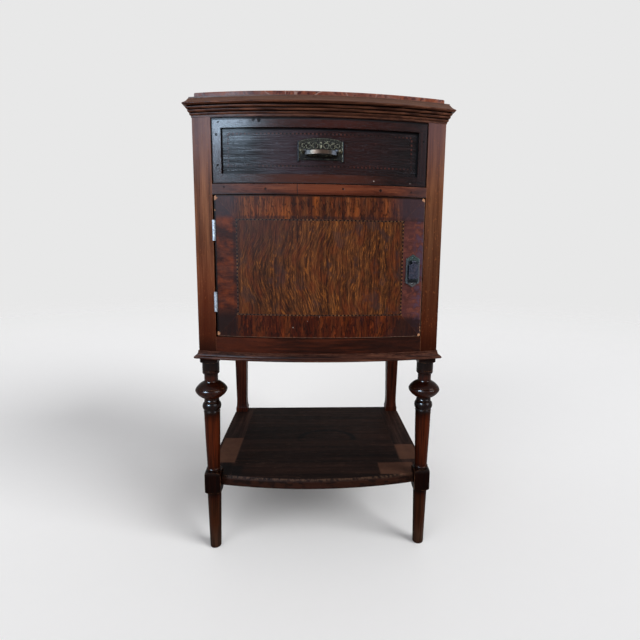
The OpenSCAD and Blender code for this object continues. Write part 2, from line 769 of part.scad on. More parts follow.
// Dovetails of a drawer side: they run in -y from y0 over the length l
module tails(y0, l, x0, x1) {
    pitch = drawer_side_h / tails_n;
    for (i = [0:tails_n - 1])
        translate([x0, y0, side_z0 + (i + 0.5) * pitch]) rotate([90, 0, 90]) linear_extrude(x1 - x0)
            polygon([[0, -tail_root / 2], [0, tail_root / 2],
                [-l, tail_root / 2 + tail_flare], [-l, -tail_root / 2 - tail_flare]]);
}

module tails_front() tails(drawer_front_back, tail_l, side_in_x, drawer_x);
module tails_back() {
    y0 = drawer_l - drawer_back_t;
    translate([0, 2 * y0, 0]) mirror([0, 1, 0]) tails(y0, drawer_back_t, side_in_x, drawer_x);
}

module drawer_bottom_board() box(-side_in_x - bottom_groove, side_in_x + bottom_groove,
    drawer_front_back - bottom_groove, drawer_l, bottom_z, bottom_z + drawer_bottom_t);

module drawer_side() difference() {
    union() {
        box(side_in_x, drawer_x, drawer_front_back, drawer_l - drawer_back_t,
            side_z0, side_z0 + drawer_side_h);
        tails_front();
        tails_back();
    }
    drawer_bottom_board();
}
module drawer_side_right() color("burlywood") in_place() drawer_side();
module drawer_side_left() color("burlywood") in_place() mirror([1, 0, 0]) drawer_side();

module drawer_back() color("burlywood") in_place() difference() {
    box(-drawer_x, drawer_x, drawer_l - drawer_back_t, drawer_l, bottom_z + drawer_bottom_t,
        side_z0 + drawer_side_h);
    both_sides() tails_back();
}

module drawer_bottom() color("burlywood") in_place() difference() {
    drawer_bottom_board();
    both_sides() tails_back();
}

module drawer_front() color("maroon") in_place() difference() {
    bow_board(-drawer_x, drawer_x, drawer_front_back, front_z0, front_z1, -frame_t);
    both_sides() tails_front();
    drawer_bottom_board();
    drawer_line(-frame_t + 1);
    both_sides() bolt_shank();
}

module drawer_frame_rails() color("maroon") in_place() {
    bow_sheet(-drawer_x, drawer_x, front_z0, field_z0, 0, -frame_t);
    bow_sheet(-drawer_x, drawer_x, field_z1, front_z1, 0, -frame_t);
}

module drawer_frame_stiles() color("maroon") in_place() both_sides()
    bow_sheet(field_x, drawer_x, field_z0, field_z1, 0, -frame_t);

// Rectangular band of an inlaid line, as a ring of outlines in x and z
module line_ring(x0, x1, z0, z1) difference() {
    xz_prism([[x0, z0], [x1, z0], [x1, z1], [x0, z1]], -front_room, shell_room);
    xz_prism([[x0 + line_w, z0 + line_w], [x1 - line_w, z0 + line_w],
        [x1 - line_w, z1 - line_w], [x0 + line_w, z1 - line_w]], -front_room - 1, shell_room + 1);
}

module drawer_line(p_out) intersection() {
    bow_sheet(-drawer_x, drawer_x, front_z0, front_z1, p_out, -frame_t - line_t);
    line_ring(-field_x + drawer_line_side, field_x - drawer_line_side,
        field_z0 + drawer_line_low, field_z1 - drawer_line_top);
}
module drawer_stringing() color("tan") in_place() drawer_line(-frame_t);

// Outline of the door with its worn corners
module door_outline() xz_prism(round_rect(door_x0, door_x1, door_z0, door_z1, door_corner),
    -front_room, shell_room);

module door_panel() color("saddlebrown") in_place() difference() {
    intersection() {
        bow_sheet(door_x0, door_x1, door_z0, door_z1, -veneer_t, -door_t);
        door_outline();
    }
    hinge_recess(door_x0);
    door_leaf_screws();
    translate([0, catch_y, pull_z]) rod_x(barrel_r, door_x1 - barrel_l, door_x1 + 1);
    pull_pin_shanks();
}

// Veneer on the door inside an outline in x and z
module door_skin(pts) difference() {
    intersection() {
        bow_sheet(door_x0, door_x1, door_z0, door_z1, 0, -veneer_t);
        door_outline();
        xz_prism(pts, -front_room, shell_room);
    }
    hinge_recess(door_x0);
    pull_pin_shanks();
}

half_line = line_w / 2;
module door_field_veneer() color("peru") in_place() door_skin([
    [line_x0 + half_line, line_z0 + half_line], [line_x1 - half_line, line_z0 + half_line],
    [line_x1 - half_line, line_z1 - half_line], [line_x0 + half_line, line_z1 - half_line]]);

module door_crossband_rails() color("firebrick") in_place() {
    door_skin([[door_x0, door_z0], [door_x1, door_z0],
        [line_x1 + half_line, line_z0 - half_line], [line_x0 - half_line, line_z0 - half_line]]);
    door_skin([[door_x0, door_z1], [door_x1, door_z1],
        [line_x1 + half_line, line_z1 + half_line], [line_x0 - half_line, line_z1 + half_line]]);
}

module door_crossband_stiles() color("firebrick") in_place() {
    door_skin([[door_x0, door_z0], [line_x0 - half_line, line_z0 - half_line],
        [line_x0 - half_line, line_z1 + half_line], [door_x0, door_z1]]);
    door_skin([[door_x1, door_z0], [line_x1 + half_line, line_z0 - half_line],
        [line_x1 + half_line, line_z1 + half_line], [door_x1, door_z1]]);
}

module door_stringing() color("tan") in_place() intersection() {
    bow_sheet(door_x0, door_x1, door_z0, door_z1, 0, -veneer_t);
    line_ring(line_x0 - half_line, line_x1 + half_line, line_z0 - half_line, line_z1 + half_line);
}

module door_stop() color("sienna") in_place() {
    y0 = bow_y(door_x1, -door_t) + stop_gap;
    box(inner_x - stop_w, inner_x, y0, y0 + stop_t, opening_z, divider_z);
}

// Room for a leaf let in from x to x + leaf_t, and for the knuckles
module hinge_recess(x) for (z = hinge_zs) {
    translate([hinge_x, hinge_y, z - hinge_l / 2])
        cylinder(r = knuckle_r + knuckle_room, h = hinge_l, $fn = metal_fn);
    box(x, x + leaf_t, hinge_y, hinge_y + leaf_w, z - hinge_l / 2, z + hinge_l / 2);
}

// One leaf with its share of the knuckles: the outer two, or the middle one
module hinge_leaf(x, outer) for (z = hinge_zs) difference() {
    union() {
        box(x, x + leaf_t, hinge_y, hinge_y + leaf_w, z - hinge_l / 2, z + hinge_l / 2);
        translate([hinge_x, hinge_y, z - hinge_l / 2]) cylinder(r = knuckle_r, h = hinge_l, $fn = metal_fn);
    }
    if (outer) {
        translate([hinge_x, hinge_y, z - knuckle_l / 2 - knuckle_gap])
            cylinder(r = knuckle_r + knuckle_room, h = knuckle_l + 2 * knuckle_gap, $fn = metal_fn);
    } else {
        for (s = [-1, 1]) translate([hinge_x, hinge_y, z + s * hinge_l / 3 - hinge_l / 6 + (s < 0 ? -1 : 0)])
            cylinder(r = knuckle_r + knuckle_room, h = hinge_l / 3 + 1, $fn = metal_fn);
    }
    translate([hinge_x, hinge_y, z - hinge_l])
        cylinder(r = hinge_pin_r + pin_play, h = 2 * hinge_l, $fn = metal_fn);
    if (outer) post_leaf_screws();
    else door_leaf_screws();
}

// Countersunk screw whose head lies flush at x = 0 and whose shank runs in +x
module wood_screw() rotate([0, 90, 0]) {
    cylinder(r1 = screw_head_r, r2 = screw_r, h = leaf_t, $fn = metal_fn);
    cylinder(r = screw_r, h = screw_l, $fn = metal_fn);
}
module leaf_screw_places() for (z = hinge_zs) for (s = [-1, 1])
    translate([0, hinge_y + leaf_w * 0.6, z + s * screw_off]) children();
module post_leaf_screws() leaf_screw_places() translate([-inner_x, 0, 0]) mirror([1, 0, 0]) wood_screw();
module door_leaf_screws() leaf_screw_places() translate([door_x0, 0, 0]) wood_screw();

module hinge_post_leaves() color("silver") in_place() hinge_leaf(-inner_x - leaf_t, true);
module hinge_door_leaves() color("silver") in_place() hinge_leaf(door_x0, false);
module hinge_post_screws() color("silver") in_place() post_leaf_screws();
module hinge_door_screws() color("silver") in_place() door_leaf_screws();
module hinge_pins() color("silver") in_place() for (z = hinge_zs)
    translate([hinge_x, hinge_y, z - hinge_l / 2]) cylinder(r = hinge_pin_r, h = hinge_l, $fn = metal_fn);

// Ball catch in the free edge of the door, and its plate on the post
catch_y = bow_y(door_x1, -door_t / 2);
module ball_catch() color("goldenrod") in_place() translate([0, catch_y, pull_z]) {
    rod_x(barrel_r, door_x1 - barrel_l, door_x1);
    translate([door_x1 + ball_out - ball_r, 0, 0]) sphere(r = ball_r, $fn = metal_fn);
}
catch_l = 24;
catch_w = 9;
catch_t = 1;
module catch_recess() box(inner_x, inner_x + catch_t, catch_y - catch_w / 2, catch_y + catch_w / 2,
    pull_z - catch_l / 2, pull_z + catch_l / 2);
module catch_plate() color("goldenrod") in_place() difference() {
    catch_recess();
    translate([inner_x - ball_r + 0.7, catch_y, pull_z]) sphere(r = ball_r, $fn = metal_fn);
}

// Flat patterns: a crescent, a pointed leaf and a round bow of a given turn
module crescent(r, cut, shift) difference() {
    circle(r = r, $fn = metal_fn);
    translate([shift, 0]) circle(r = cut, $fn = metal_fn);
}
module leaf_shape(l, w) {
    r = (l * l + w * w) / (4 * w);
    intersection() {
        translate([0, r - w / 2]) circle(r = r, $fn = turn_fn);
        translate([0, -r + w / 2]) circle(r = r, $fn = turn_fn);
    }
}
module ring_shape(r, w) difference() {
    circle(r = r, $fn = metal_fn);
    circle(r = r - w, $fn = metal_fn);
}
module both_sides_2d() {
    children();
    mirror([1, 0]) children();
}

// Openings stamped out of the handle plate, and the scrolls and leaves that stand up from it
module plate_piercings() scale(pattern_k) both_sides_2d() {
    translate([8.6, 8.6]) rotate(20) crescent(3.3, 2.8, 1.5);
    translate([18.6, 7.6]) rotate(160) crescent(3, 2.6, 1.4);
    translate([26.6, 8.4]) rotate(30) crescent(2.2, 1.9, 1);
    translate([13.8, 12.2]) rotate(-10) leaf_shape(5, 1.7);
    translate([22.6, 11.4]) rotate(-20) leaf_shape(4.2, 1.5);
    translate([13.4, 3.1]) rotate(15) leaf_shape(4.8, 1.6);
    translate([22.6, 2.9]) rotate(-15) leaf_shape(4, 1.4);
    translate([3.4, 13.9]) rotate(35) leaf_shape(4.6, 1.7);
    translate([3.7, 3.6]) rotate(-30) leaf_shape(4.2, 1.5);
    translate([5.2, -9.8]) rotate(12) leaf_shape(6.4, 1.8);
    translate([14.2, -9.6]) rotate(-12) leaf_shape(6.4, 1.8);
    translate([23, -9.8]) rotate(12) leaf_shape(5.6, 1.7);
}
module plate_relief() scale(pattern_k) {
    translate([0, 9.5]) rotate(90) leaf_shape(11, 4.2);
    both_sides_2d() {
        translate([8.6, 8.6]) ring_shape(4.6, 0.9);
        translate([18.6, 7.6]) ring_shape(4.2, 0.9);
        translate([26.6, 8.4]) ring_shape(3.2, 0.8);
        translate([9.4, 14.6]) rotate(-8) leaf_shape(8, 1.6);
        translate([19.6, 12.6]) rotate(-14) leaf_shape(7, 1.4);
        translate([13, -6.4]) rotate(4) leaf_shape(15, 1.6);
        translate([9.6, -11.6]) leaf_shape(12, 1.2);
        translate([22.6, -11.6]) leaf_shape(10, 1.2);
    }
}
module plate_outline() {
    w = plate_w / 2;
    h = plate_h / 2;
    polygon(concat([[-w, -h], [w, -h], [w, h]], arc([0, h], w * 0.94, plate_crest, 0, 180, 24), [[-w, h]]));
}

// Flat shape about the middle of the handle, between two depths
module on_plate(y0, y1) translate([0, y1, handle_z]) rotate([90, 0, 0]) linear_extrude(y1 - y0) children();

// Shank of a handle bolt, which is also its hole
module bolt_shank() translate([bolt_x, 0, pivot_z])
    rod_y(bolt_r, plate_face - seat_t, drawer_front_back + nut_t + 1.5);

module handle_plate() color("darkslategray") in_place() {
    bar_x = plate_w / 2 - bar_r;
    difference() {
        union() {
            on_plate(plate_face, plate_face + plate_t) difference() {
                plate_outline();
                plate_piercings();
            }
            on_plate(plate_face - relief_t, plate_face + plate_t / 2) difference() {
                plate_relief();
                plate_piercings();
            }
            both_sides() {
                translate([bar_x, plate_face, handle_z - plate_h / 2 - 0.5])
                    cylinder(r = bar_r, h = plate_h + 1, $fn = metal_fn);
                for (s = [-1, 1]) translate([bar_x, plate_face, handle_z + s * (plate_h / 2 + 1)])
                    sphere(r = s < 0 ? knob_r : bar_r, $fn = metal_fn);
                translate([bolt_x, 0, pivot_z]) rod_y(seat_r, plate_face - seat_t, plate_face + plate_t / 2);
            }
        }
        both_sides() bolt_shank();
    }
}

// Eye bolts that hold the plate and the pins of the bail
module handle_bolts() color("darkslategray") in_place() both_sides() {
    difference() {
        union() {
            bolt_shank();
            translate([0, pivot_y, pivot_z]) rod_x(eye_r, bolt_x - eye_t / 2, bolt_x + eye_t / 2);
            box(bolt_x - eye_t / 2, bolt_x + eye_t / 2, pivot_y, plate_face - seat_t,
                pivot_z - bolt_r, pivot_z + bolt_r);
        }
        translate([0, pivot_y, pivot_z]) rod_x(bail_pin_r + pin_play, bolt_x - eye_t, bolt_x + eye_t);
    }
}
module handle_nuts() color("darkslategray") in_place() both_sides() difference() {
    translate([bolt_x - nut_w / 2, drawer_front_back, pivot_z - nut_w / 2]) cube([nut_w, nut_t, nut_w]);
    bolt_shank();
}

// Bail: a bowed strap with a bevelled section and arched lower edge, and turned-in ends with pins
module handle_bail() color("darkslategray") in_place() translate([0, pivot_y, pivot_z]) {
    w = bail_w - 3;
    r = (w * w + bail_reach * bail_reach) / (2 * bail_reach);
    low = strap_up - strap_h;
    bevel = 0.4 * strap_t;
    arch_r = (w * w + strap_arch * strap_arch) / (2 * strap_arch);
    difference() {
        intersection() {
            translate([0, r - bail_reach, 0]) rotate_extrude($fn = bow_fn) polygon([
                [r - strap_t, low], [r - bevel, low], [r, low + bevel],
                [r, strap_up - bevel], [r - bevel, strap_up], [r - strap_t, strap_up]]);
            box(-w, w, -bail_reach - 1, bail_end_r / 2, low - 1, strap_up + 1);
        }
        translate([0, bail_end_r, low + strap_arch - arch_r]) rotate([90, 0, 0])
            cylinder(r = arch_r, h = 3 * bail_reach, $fn = bow_fn);
    }
    both_sides() {
        rod_x(bail_end_r, w - 1.6, bail_w);
        rod_x(bail_pin_r, w, bolt_x + eye_t / 2);
    }
}

// Six-sided plate of the door pull, with a raised rim, a raised foot and ears for the drop
function pull_outline(e) =
    let (w = pull_w / 2 - e, h = pull_h / 2 - 1.2 * e, s = pull_h / 2 - pull_point - 0.5 * e)
    [[-w, -s], [0, -h], [w, -s], [w, s], [0, h], [-w, s]];

module on_pull_plate(t) translate([0, 0, pull_z]) rotate([90, 0, 0]) linear_extrude(t) children();

module pull_pin_places() on_pull() for (s = [-1, 1])
    translate([0, 0, pull_z + s * (pull_h / 2 - pin_in)]) children();
module pull_pin_shanks() pull_pin_places() rod_y(pin_r, -plate_t, pin_l);

module pull_plate() color("darkslategray") in_place() {
    foot = pull_h / 2 - pull_point;
    on_pull() difference() {
        union() {
            on_pull_plate(plate_t) polygon(pull_outline(0));
            on_pull_plate(plate_t + relief_t) difference() {
                polygon(pull_outline(0.7));
                polygon(pull_outline(0.7 + rim_w));
            }
            on_pull_plate(plate_t + 0.6 * relief_t) polygon([
                [-0.34 * pull_w, -foot - 0.4], [0, -pull_h / 2 + 2],
                [0.34 * pull_w, -foot - 0.4], [0, -foot + 1.6]]);
            both_sides() {
                box(ear_x, ear_x + ear_t, -drop_pivot_out, 0,
                    drop_pivot_z - drop_eye_r, drop_pivot_z + drop_eye_r);
                translate([0, -drop_pivot_out, drop_pivot_z]) rod_x(drop_eye_r, ear_x, ear_x + ear_t);
            }
            translate([0, -drop_pivot_out, drop_pivot_z]) rod_x(drop_pin_r, -ear_x - 0.5, ear_x + 0.5);
        }
        for (s = [-1, 1]) translate([0, 0, pull_z + s * (pull_h / 2 - pin_in)]) {
            rod_y(pin_r, -front_room, 1);
            rod_y(pin_head_r + 0.1, -front_room, -plate_t);
        }
    }
}
module pull_pins() color("darkslategray") in_place() {
    pull_pin_shanks();
    pull_pin_places() intersection() {
        translate([0, -plate_t + 0.8, 0]) sphere(r = pin_head_r, $fn = metal_fn);
        rod_y(pin_head_r + 1, -plate_t - 4, -plate_t);
    }
}

// Drop of the door pull, hanging from its pin
module pull_drop() color("darkslategray") in_place() on_pull() translate([0, -drop_pivot_out, drop_pivot_z]) {
    w = drop_w / 2;
    e = drop_eye_w / 2;
    top = -drop_eye_r - 1;
    notch_r = 0.1 * drop_w;
    difference() {
        union() {
            rod_x(drop_eye_r, -e, e);
            translate([0, drop_t / 2, 0]) rotate([90, 0, 0]) linear_extrude(drop_t) polygon([
                [-e, 0], [-e, top], [-w, top - 2.5], [-w, -drop_l + 2], [-w + 2, -drop_l],
                [w - 2, -drop_l], [w, -drop_l + 2], [w, top - 2.5], [e, top], [e, 0]]);
            translate([0, 0, 0]) rotate([90, 0, 0]) linear_extrude(drop_t / 2 + 0.6) polygon([
                [-w + 3, top - 5], [0, top - 3.4], [w - 3, top - 5],
                [w - 3, -drop_l + 5], [-w + 3, -drop_l + 5]]);
        }
        rod_x(drop_pin_r + pin_play, -drop_eye_w, drop_eye_w);
        for (s = [-1, 1]) translate([s * 0.17 * drop_w, 0, -drop_l]) rod_y(notch_r, -drop_t, drop_t);
        translate([0, 0, top - 1.2]) rod_y(1.2, -drop_t, drop_t);
    }
}

marble_top();
cornice_front();
cornice_left();
cornice_right();
front_post_left();
front_post_right();
back_post_left();
back_post_right();
side_panel_left();
side_panel_right();
back_boards();
top_rail_front();
top_rail_back();
divider_rail();
drawer_runner_left();
drawer_runner_right();
drawer_guide_left();
drawer_guide_right();
drawer_kicker_left();
drawer_kicker_right();
drawer_stops();
bottom_rail();
cupboard_floor();
floor_bearers();
base_moulding_front();
base_moulding_left();
base_moulding_right();
shelf_board();
shelf_clamp_left();
shelf_clamp_right();
door_stop();
catch_plate();
hinge_post_leaves();
hinge_pins();
hinge_post_screws();
drawer_front();
drawer_frame_rails();
drawer_frame_stiles();
drawer_stringing();
drawer_side_left();
drawer_side_right();
drawer_back();
drawer_bottom();
handle_plate();
handle_bolts();
handle_nuts();
handle_bail();
door_panel();
door_field_veneer();
door_crossband_rails();
door_crossband_stiles();
door_stringing();
hinge_door_leaves();
hinge_door_screws();
pull_plate();
pull_pins();
ball_catch();
pull_drop();
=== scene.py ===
# %% [markdown]
# # A bow-fronted bedside cabinet with a marble top
# The cabinet arrives as exact solids: carcase, turned legs, mouldings, drawer, door and metal
# fittings, each a node of its own. This file gives every one of them its finish, adds the small
# work that is too fine for the solids, and sets up the floor, the light and the camera.
# Everything is in metres. The front faces -Y, and Z points up.

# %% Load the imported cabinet
import math
import bpy
from mathutils import Matrix, Vector


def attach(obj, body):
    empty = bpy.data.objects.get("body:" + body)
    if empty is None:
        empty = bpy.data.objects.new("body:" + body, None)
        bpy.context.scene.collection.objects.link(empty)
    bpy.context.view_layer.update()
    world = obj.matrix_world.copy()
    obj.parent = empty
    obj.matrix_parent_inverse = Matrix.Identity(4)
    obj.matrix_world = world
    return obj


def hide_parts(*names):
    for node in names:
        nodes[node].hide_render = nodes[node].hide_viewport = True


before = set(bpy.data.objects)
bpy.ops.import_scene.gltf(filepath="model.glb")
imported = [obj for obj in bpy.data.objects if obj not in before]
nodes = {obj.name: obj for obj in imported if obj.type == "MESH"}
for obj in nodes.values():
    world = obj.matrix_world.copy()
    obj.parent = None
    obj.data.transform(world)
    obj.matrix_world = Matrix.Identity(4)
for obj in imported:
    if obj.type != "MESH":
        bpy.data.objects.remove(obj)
for left_over in ("Cube", "Light", "Camera"):
    if left_over in bpy.data.objects:
        bpy.data.objects.remove(bpy.data.objects[left_over])
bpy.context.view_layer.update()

# %% [markdown]
# ## The camera
# The photograph was taken from less than a metre away with a wide lens, level with the upper
# half of the door and slightly to the left of its middle. Such a close camera makes the lower
# parts run together, so its place matters more than its lens. Yaw, pitch and roll turn it, in
# that order, and the lens shift slides the picture without turning it.

# %% Set the camera
def camera_at(eye, yaw, pitch, roll, lens, shift):
    """A camera at eye. Angles are in degrees: yaw turns left, pitch up, roll tips the picture."""
    yaw, pitch, roll = (math.radians(angle) for angle in (yaw, pitch, roll))
    made = bpy.data.cameras.new("camera")
    made.lens, made.shift_x, made.shift_y = lens, *shift
    seat = bpy.data.objects.new("camera", made)
    turns = Matrix.Rotation(yaw, 4, "Z") @ Matrix.Rotation(math.pi / 2 + pitch, 4, "X")
    seat.matrix_world = Matrix.Translation(eye) @ turns @ Matrix.Rotation(roll, 4, "Z")
    bpy.context.collection.objects.link(seat)
    return seat


camera = camera_at((-0.01082, -0.91595, 0.54451), -2.904, -8.394, 0.67, 25.415, (-0.0247, -0.0101))
bpy.context.scene.camera = camera
bpy.context.scene.view_settings.view_transform = "Standard"
print("camera at", tuple(round(number, 3) for number in camera.matrix_world.translation))

# %% [markdown]
# ## Writing shaders as sums
# A shader is a net of small nodes. Adding them by hand takes three lines for every plus sign, so
# a small class wraps a socket and lets Python's own operators add the Math nodes. `1 - mask`
# then reads as it would on paper. Every other node comes from one method, `add`.

# %% Wrap a socket
class Term:
    """A socket that can be used in sums."""

    def __init__(self, recipe, socket):
        self.recipe, self.socket = recipe, socket

    def rise(self, low, high):
        """0 below low, 1 above high, and a smooth climb between them."""
        return self.recipe.add("ShaderNodeMapRange", {"Value": self, "From Min": low, "From Max": high},
                               interpolation_type="SMOOTHSTEP")

    def fall(self, low, high):
        """1 below low, 0 above high."""
        return 1 - self.rise(low, high)

    def beside(self, name):
        """Another output of the same node."""
        return Term(self.recipe, find_socket(self.socket.node.outputs, name))


def summing(how, turned=False):
    """A method that adds one Math node. turned puts the term last, as in 1 - mask."""
    def method(term, *others):
        return term.recipe.sum_of(how, *others, term) if turned else term.recipe.sum_of(how, term, *others)
    return method


for sign, how in (("add", "ADD"), ("sub", "SUBTRACT"), ("mul", "MULTIPLY")):
    setattr(Term, f"__{sign}__", summing(how))
    setattr(Term, f"__r{sign}__", summing(how, True))
for method, how in (("__truediv__", "DIVIDE"), ("__pow__", "POWER"), ("__abs__", "ABSOLUTE"),
                    ("least", "MINIMUM"), ("most", "MAXIMUM"), ("root", "SQRT")):
    setattr(Term, method, summing(how))


def find_socket(sockets, name):
    """A socket by its number, by its identifier, or by its name."""
    if isinstance(name, int):
        return sockets[name]
    return next((socket for socket in sockets if socket.identifier == name), None) or sockets[name]


print("sockets can be added, multiplied and compared")

# %% [markdown]
# A recipe is a node tree with the method that adds to it. Materials, the world and the trees
# that lay small pieces in rows are all written with it.

# %% Write recipes and finishes
def set_stops(elements, stops):
    """Gives a new ramp its stops, each a value and a colour."""
    while len(elements) < len(stops):
        elements.new(0.5)
    for element, (position, colour) in zip(elements, stops):
        element.position, element.color = position, colour


class Recipe:
    """A node tree that is written line by line."""

    def __init__(self, tree):
        self.tree = tree

    def add(self, kind, sockets=None, out=0, **settings):
        """Adds a node: first its settings, then values or links for its sockets. Returns an output."""
        node = self.tree.nodes.new(kind)
        for setting, value in settings.items():
            if setting == "stops":
                set_stops(node.color_ramp.elements, value)
            else:
                setattr(node, setting, value)
        for name, value in (sockets or {}).items():
            socket = find_socket(node.inputs, name)
            for part in value if isinstance(value, list) else [value]:
                if isinstance(part, Term):
                    self.tree.links.new(part.socket, socket)
                else:
                    socket.default_value = part
        return Term(self, find_socket(node.outputs, out)) if node.outputs else None

    def ramp(self, value, *stops):
        """A colour that changes with a value. Each stop is a value and the colour it has there."""
        return self.add("ShaderNodeValToRGB", {"Fac": value}, "Color", stops=stops)

    def sum_of(self, how, *parts):
        return self.add("ShaderNodeMath", dict(enumerate(parts)), operation=how)

    def mix(self, first, second, share, how="MIX"):
        """Two colours in one, with share of the second."""
        return self.add("ShaderNodeMix", {"Factor_Float": share, "A_Color": first, "B_Color": second},
                        "Result_Color", data_type="RGBA", blend_type=how)

    def vector(self, how, first, second):
        return self.add("ShaderNodeVectorMath", {0: first, 1: second}, operation=how)


def thrice(value):
    """The same value for x, y and z, unless there are three already."""
    return value if isinstance(value, tuple) else (value, value, value)


def seen(red, green, blue):
    """A colour as a screen shows it, 0 to 255, as the light values that shaders use."""
    parts = (max(0, min(255, part)) / 255 for part in (red, green, blue))
    return *(part / 12.92 if part < 0.04045 else ((part + 0.055) / 1.055) ** 2.4 for part in parts), 1.0


print("a recipe adds nodes; 232 on a screen is a light value of", round(seen(232, 232, 232)[0], 3))

# %% [markdown]
# A finish is the recipe of one material. It keeps the Principled shader, the object's own
# coordinates, which stay with the piece when a drawer or a door moves, and four things that
# are worked on until they are done: colour, roughness, height for the relief, and coat.

# %% A finish with its patterns
class Finish(Recipe):
    """One material, with patterns that follow the piece's own coordinates."""

    def __init__(self, name, **constants):
        self.material = bpy.data.materials.new(name)
        self.material.use_nodes = True
        super().__init__(self.material.node_tree)
        self.shader = self.tree.nodes["Principled BSDF"]
        for socket, value in constants.items():
            self.shader.inputs[socket.replace("_", " ")].default_value = value
        self.place = self.add("ShaderNodeTexCoord", out="Object")
        self.x = self.add("ShaderNodeSeparateXYZ", {0: self.place})
        self.y, self.z = self.x.beside("Y"), self.x.beside("Z")
        self.colour, self.roughness, self.height, self.coat = None, 0.5, None, None

    def spread(self, per_metre, seed=0, of=None):
        """The coordinates stretched, so that a pattern repeats so often in a metre of x, y and z."""
        return self.add("ShaderNodeMapping", {
            "Vector": of or self.place, "Location": (seed * 7.31, seed * 3.17, seed * 5.73),
            "Scale": thrice(per_metre)})

    def noise(self, per_metre, seed=0, detail=3.0, rough=0.5, of=None, out=0):
        return self.add("ShaderNodeTexNoise", {
            "Vector": self.spread(per_metre, seed, of), "Scale": 1.0, "Detail": detail,
            "Roughness": rough}, out)

    def hairs(self, per_metre, thin, seed=0, of=None):
        """Thin lines where a noise passes its middle value: 1 on the line, 0 beside it."""
        return abs(self.noise(per_metre, seed, 2.0, 0.5, of) - 0.5).fall(thin * 0.4, thin)

    def cracks(self, per_metre, seed=0, of=None):
        """Distance to the nearest border of a net of cells, 0 on the border."""
        return self.add("ShaderNodeTexVoronoi", {
            "Vector": self.spread(per_metre, seed, of), "Scale": 1.0}, feature="DISTANCE_TO_EDGE")

    def swayed(self, amount, per_metre, seed=0):
        """The coordinates, pushed to and fro by up to amount metres along x, y and z."""
        push = self.vector("SUBTRACT", self.noise(per_metre, seed, 2.0, out="Color"), (0.5, 0.5, 0.5))
        return self.vector("ADD", self.place, self.vector("MULTIPLY", push, thrice(amount)))

    def spots(self, places, soft=1.5, ragged=None):
        """1 on spots seen from the front, given as x, z and radius, and 0 round them."""
        found = None
        for x, z, radius in places:
            away = ((self.x - x) ** 2.0 + (self.z - z) ** 2.0).root()
            if ragged:
                away = away + ragged
            spot = away.fall(radius, radius * soft)
            found = spot if found is None else found.most(spot)
        return found

    def edges(self, radius):
        """1 on edges and corners, where hands and dusters wear a piece, 0 on its faces."""
        rounded = self.add("ShaderNodeBevel", {"Radius": radius}, samples=6)
        straight = self.add("ShaderNodeNewGeometry", out="Normal")
        same = self.add("ShaderNodeVectorMath", {0: rounded, 1: straight}, "Value", operation="DOT_PRODUCT")
        return same.fall(0.8, 0.985)

    def hollows(self, reach):
        """1 deep in the piece's own grooves, where dust and old wax stay, 0 on open faces."""
        sky = self.add("ShaderNodeAmbientOcclusion", {"Distance": reach}, "AO", samples=8, only_local=True)
        return sky.fall(0.35, 0.95)

    def tint(self, *layers):
        """Lays colours over what is there. Each is followed by its share, from 0 to 1."""
        for colour, share in zip(layers[::2], layers[1::2]):
            self.colour = self.mix(self.colour, colour if isinstance(colour, Term) else seen(*colour), share)

    def shade(self, factor):
        self.colour = self.mix(self.colour, factor, 1.0, "MULTIPLY")

    def change(self, extras):
        """Lets functions that belong to one piece of wood or metal change the finish."""
        for extra in extras:
            extra(self, self.x, self.y, self.z)

    def done(self, depth=0.0005, strength=0.5):
        """Links what was worked out to the shader and returns the material."""
        relief = None
        if self.height is not None:
            relief = self.add("ShaderNodeBump", {
                "Height": self.height, "Distance": depth, "Strength": strength})
        for socket, value in (("Base Color", self.colour), ("Roughness", self.roughness),
                              ("Coat Weight", self.coat), ("Normal", relief)):
            if isinstance(value, Term):
                self.tree.links.new(value.socket, self.shader.inputs[socket])
            elif value is not None:
                self.shader.inputs[socket].default_value = value
        return self.material


print("a finish knows its own coordinates, edges and hollows")

# %% [markdown]
# ## Old polished wood
# All the wood has the same build-up: long streaks along the grain, finer lines between them,
# open pores as short dark dashes, slow clouds where the stain took unevenly, a thin uneven
# polish over it, dark dirt in the hollows and rubbed edges. One function makes them all, and
# each timber gets its own colours, its own direction of grain and its own extras.

# %% Make a wood finish
def stretched(along, often, longer=28):
    """Repeats per metre for a grain along x, y or z, whose marks are so many times longer than wide."""
    return tuple(often / longer if axis == along else often for axis in "xyz")


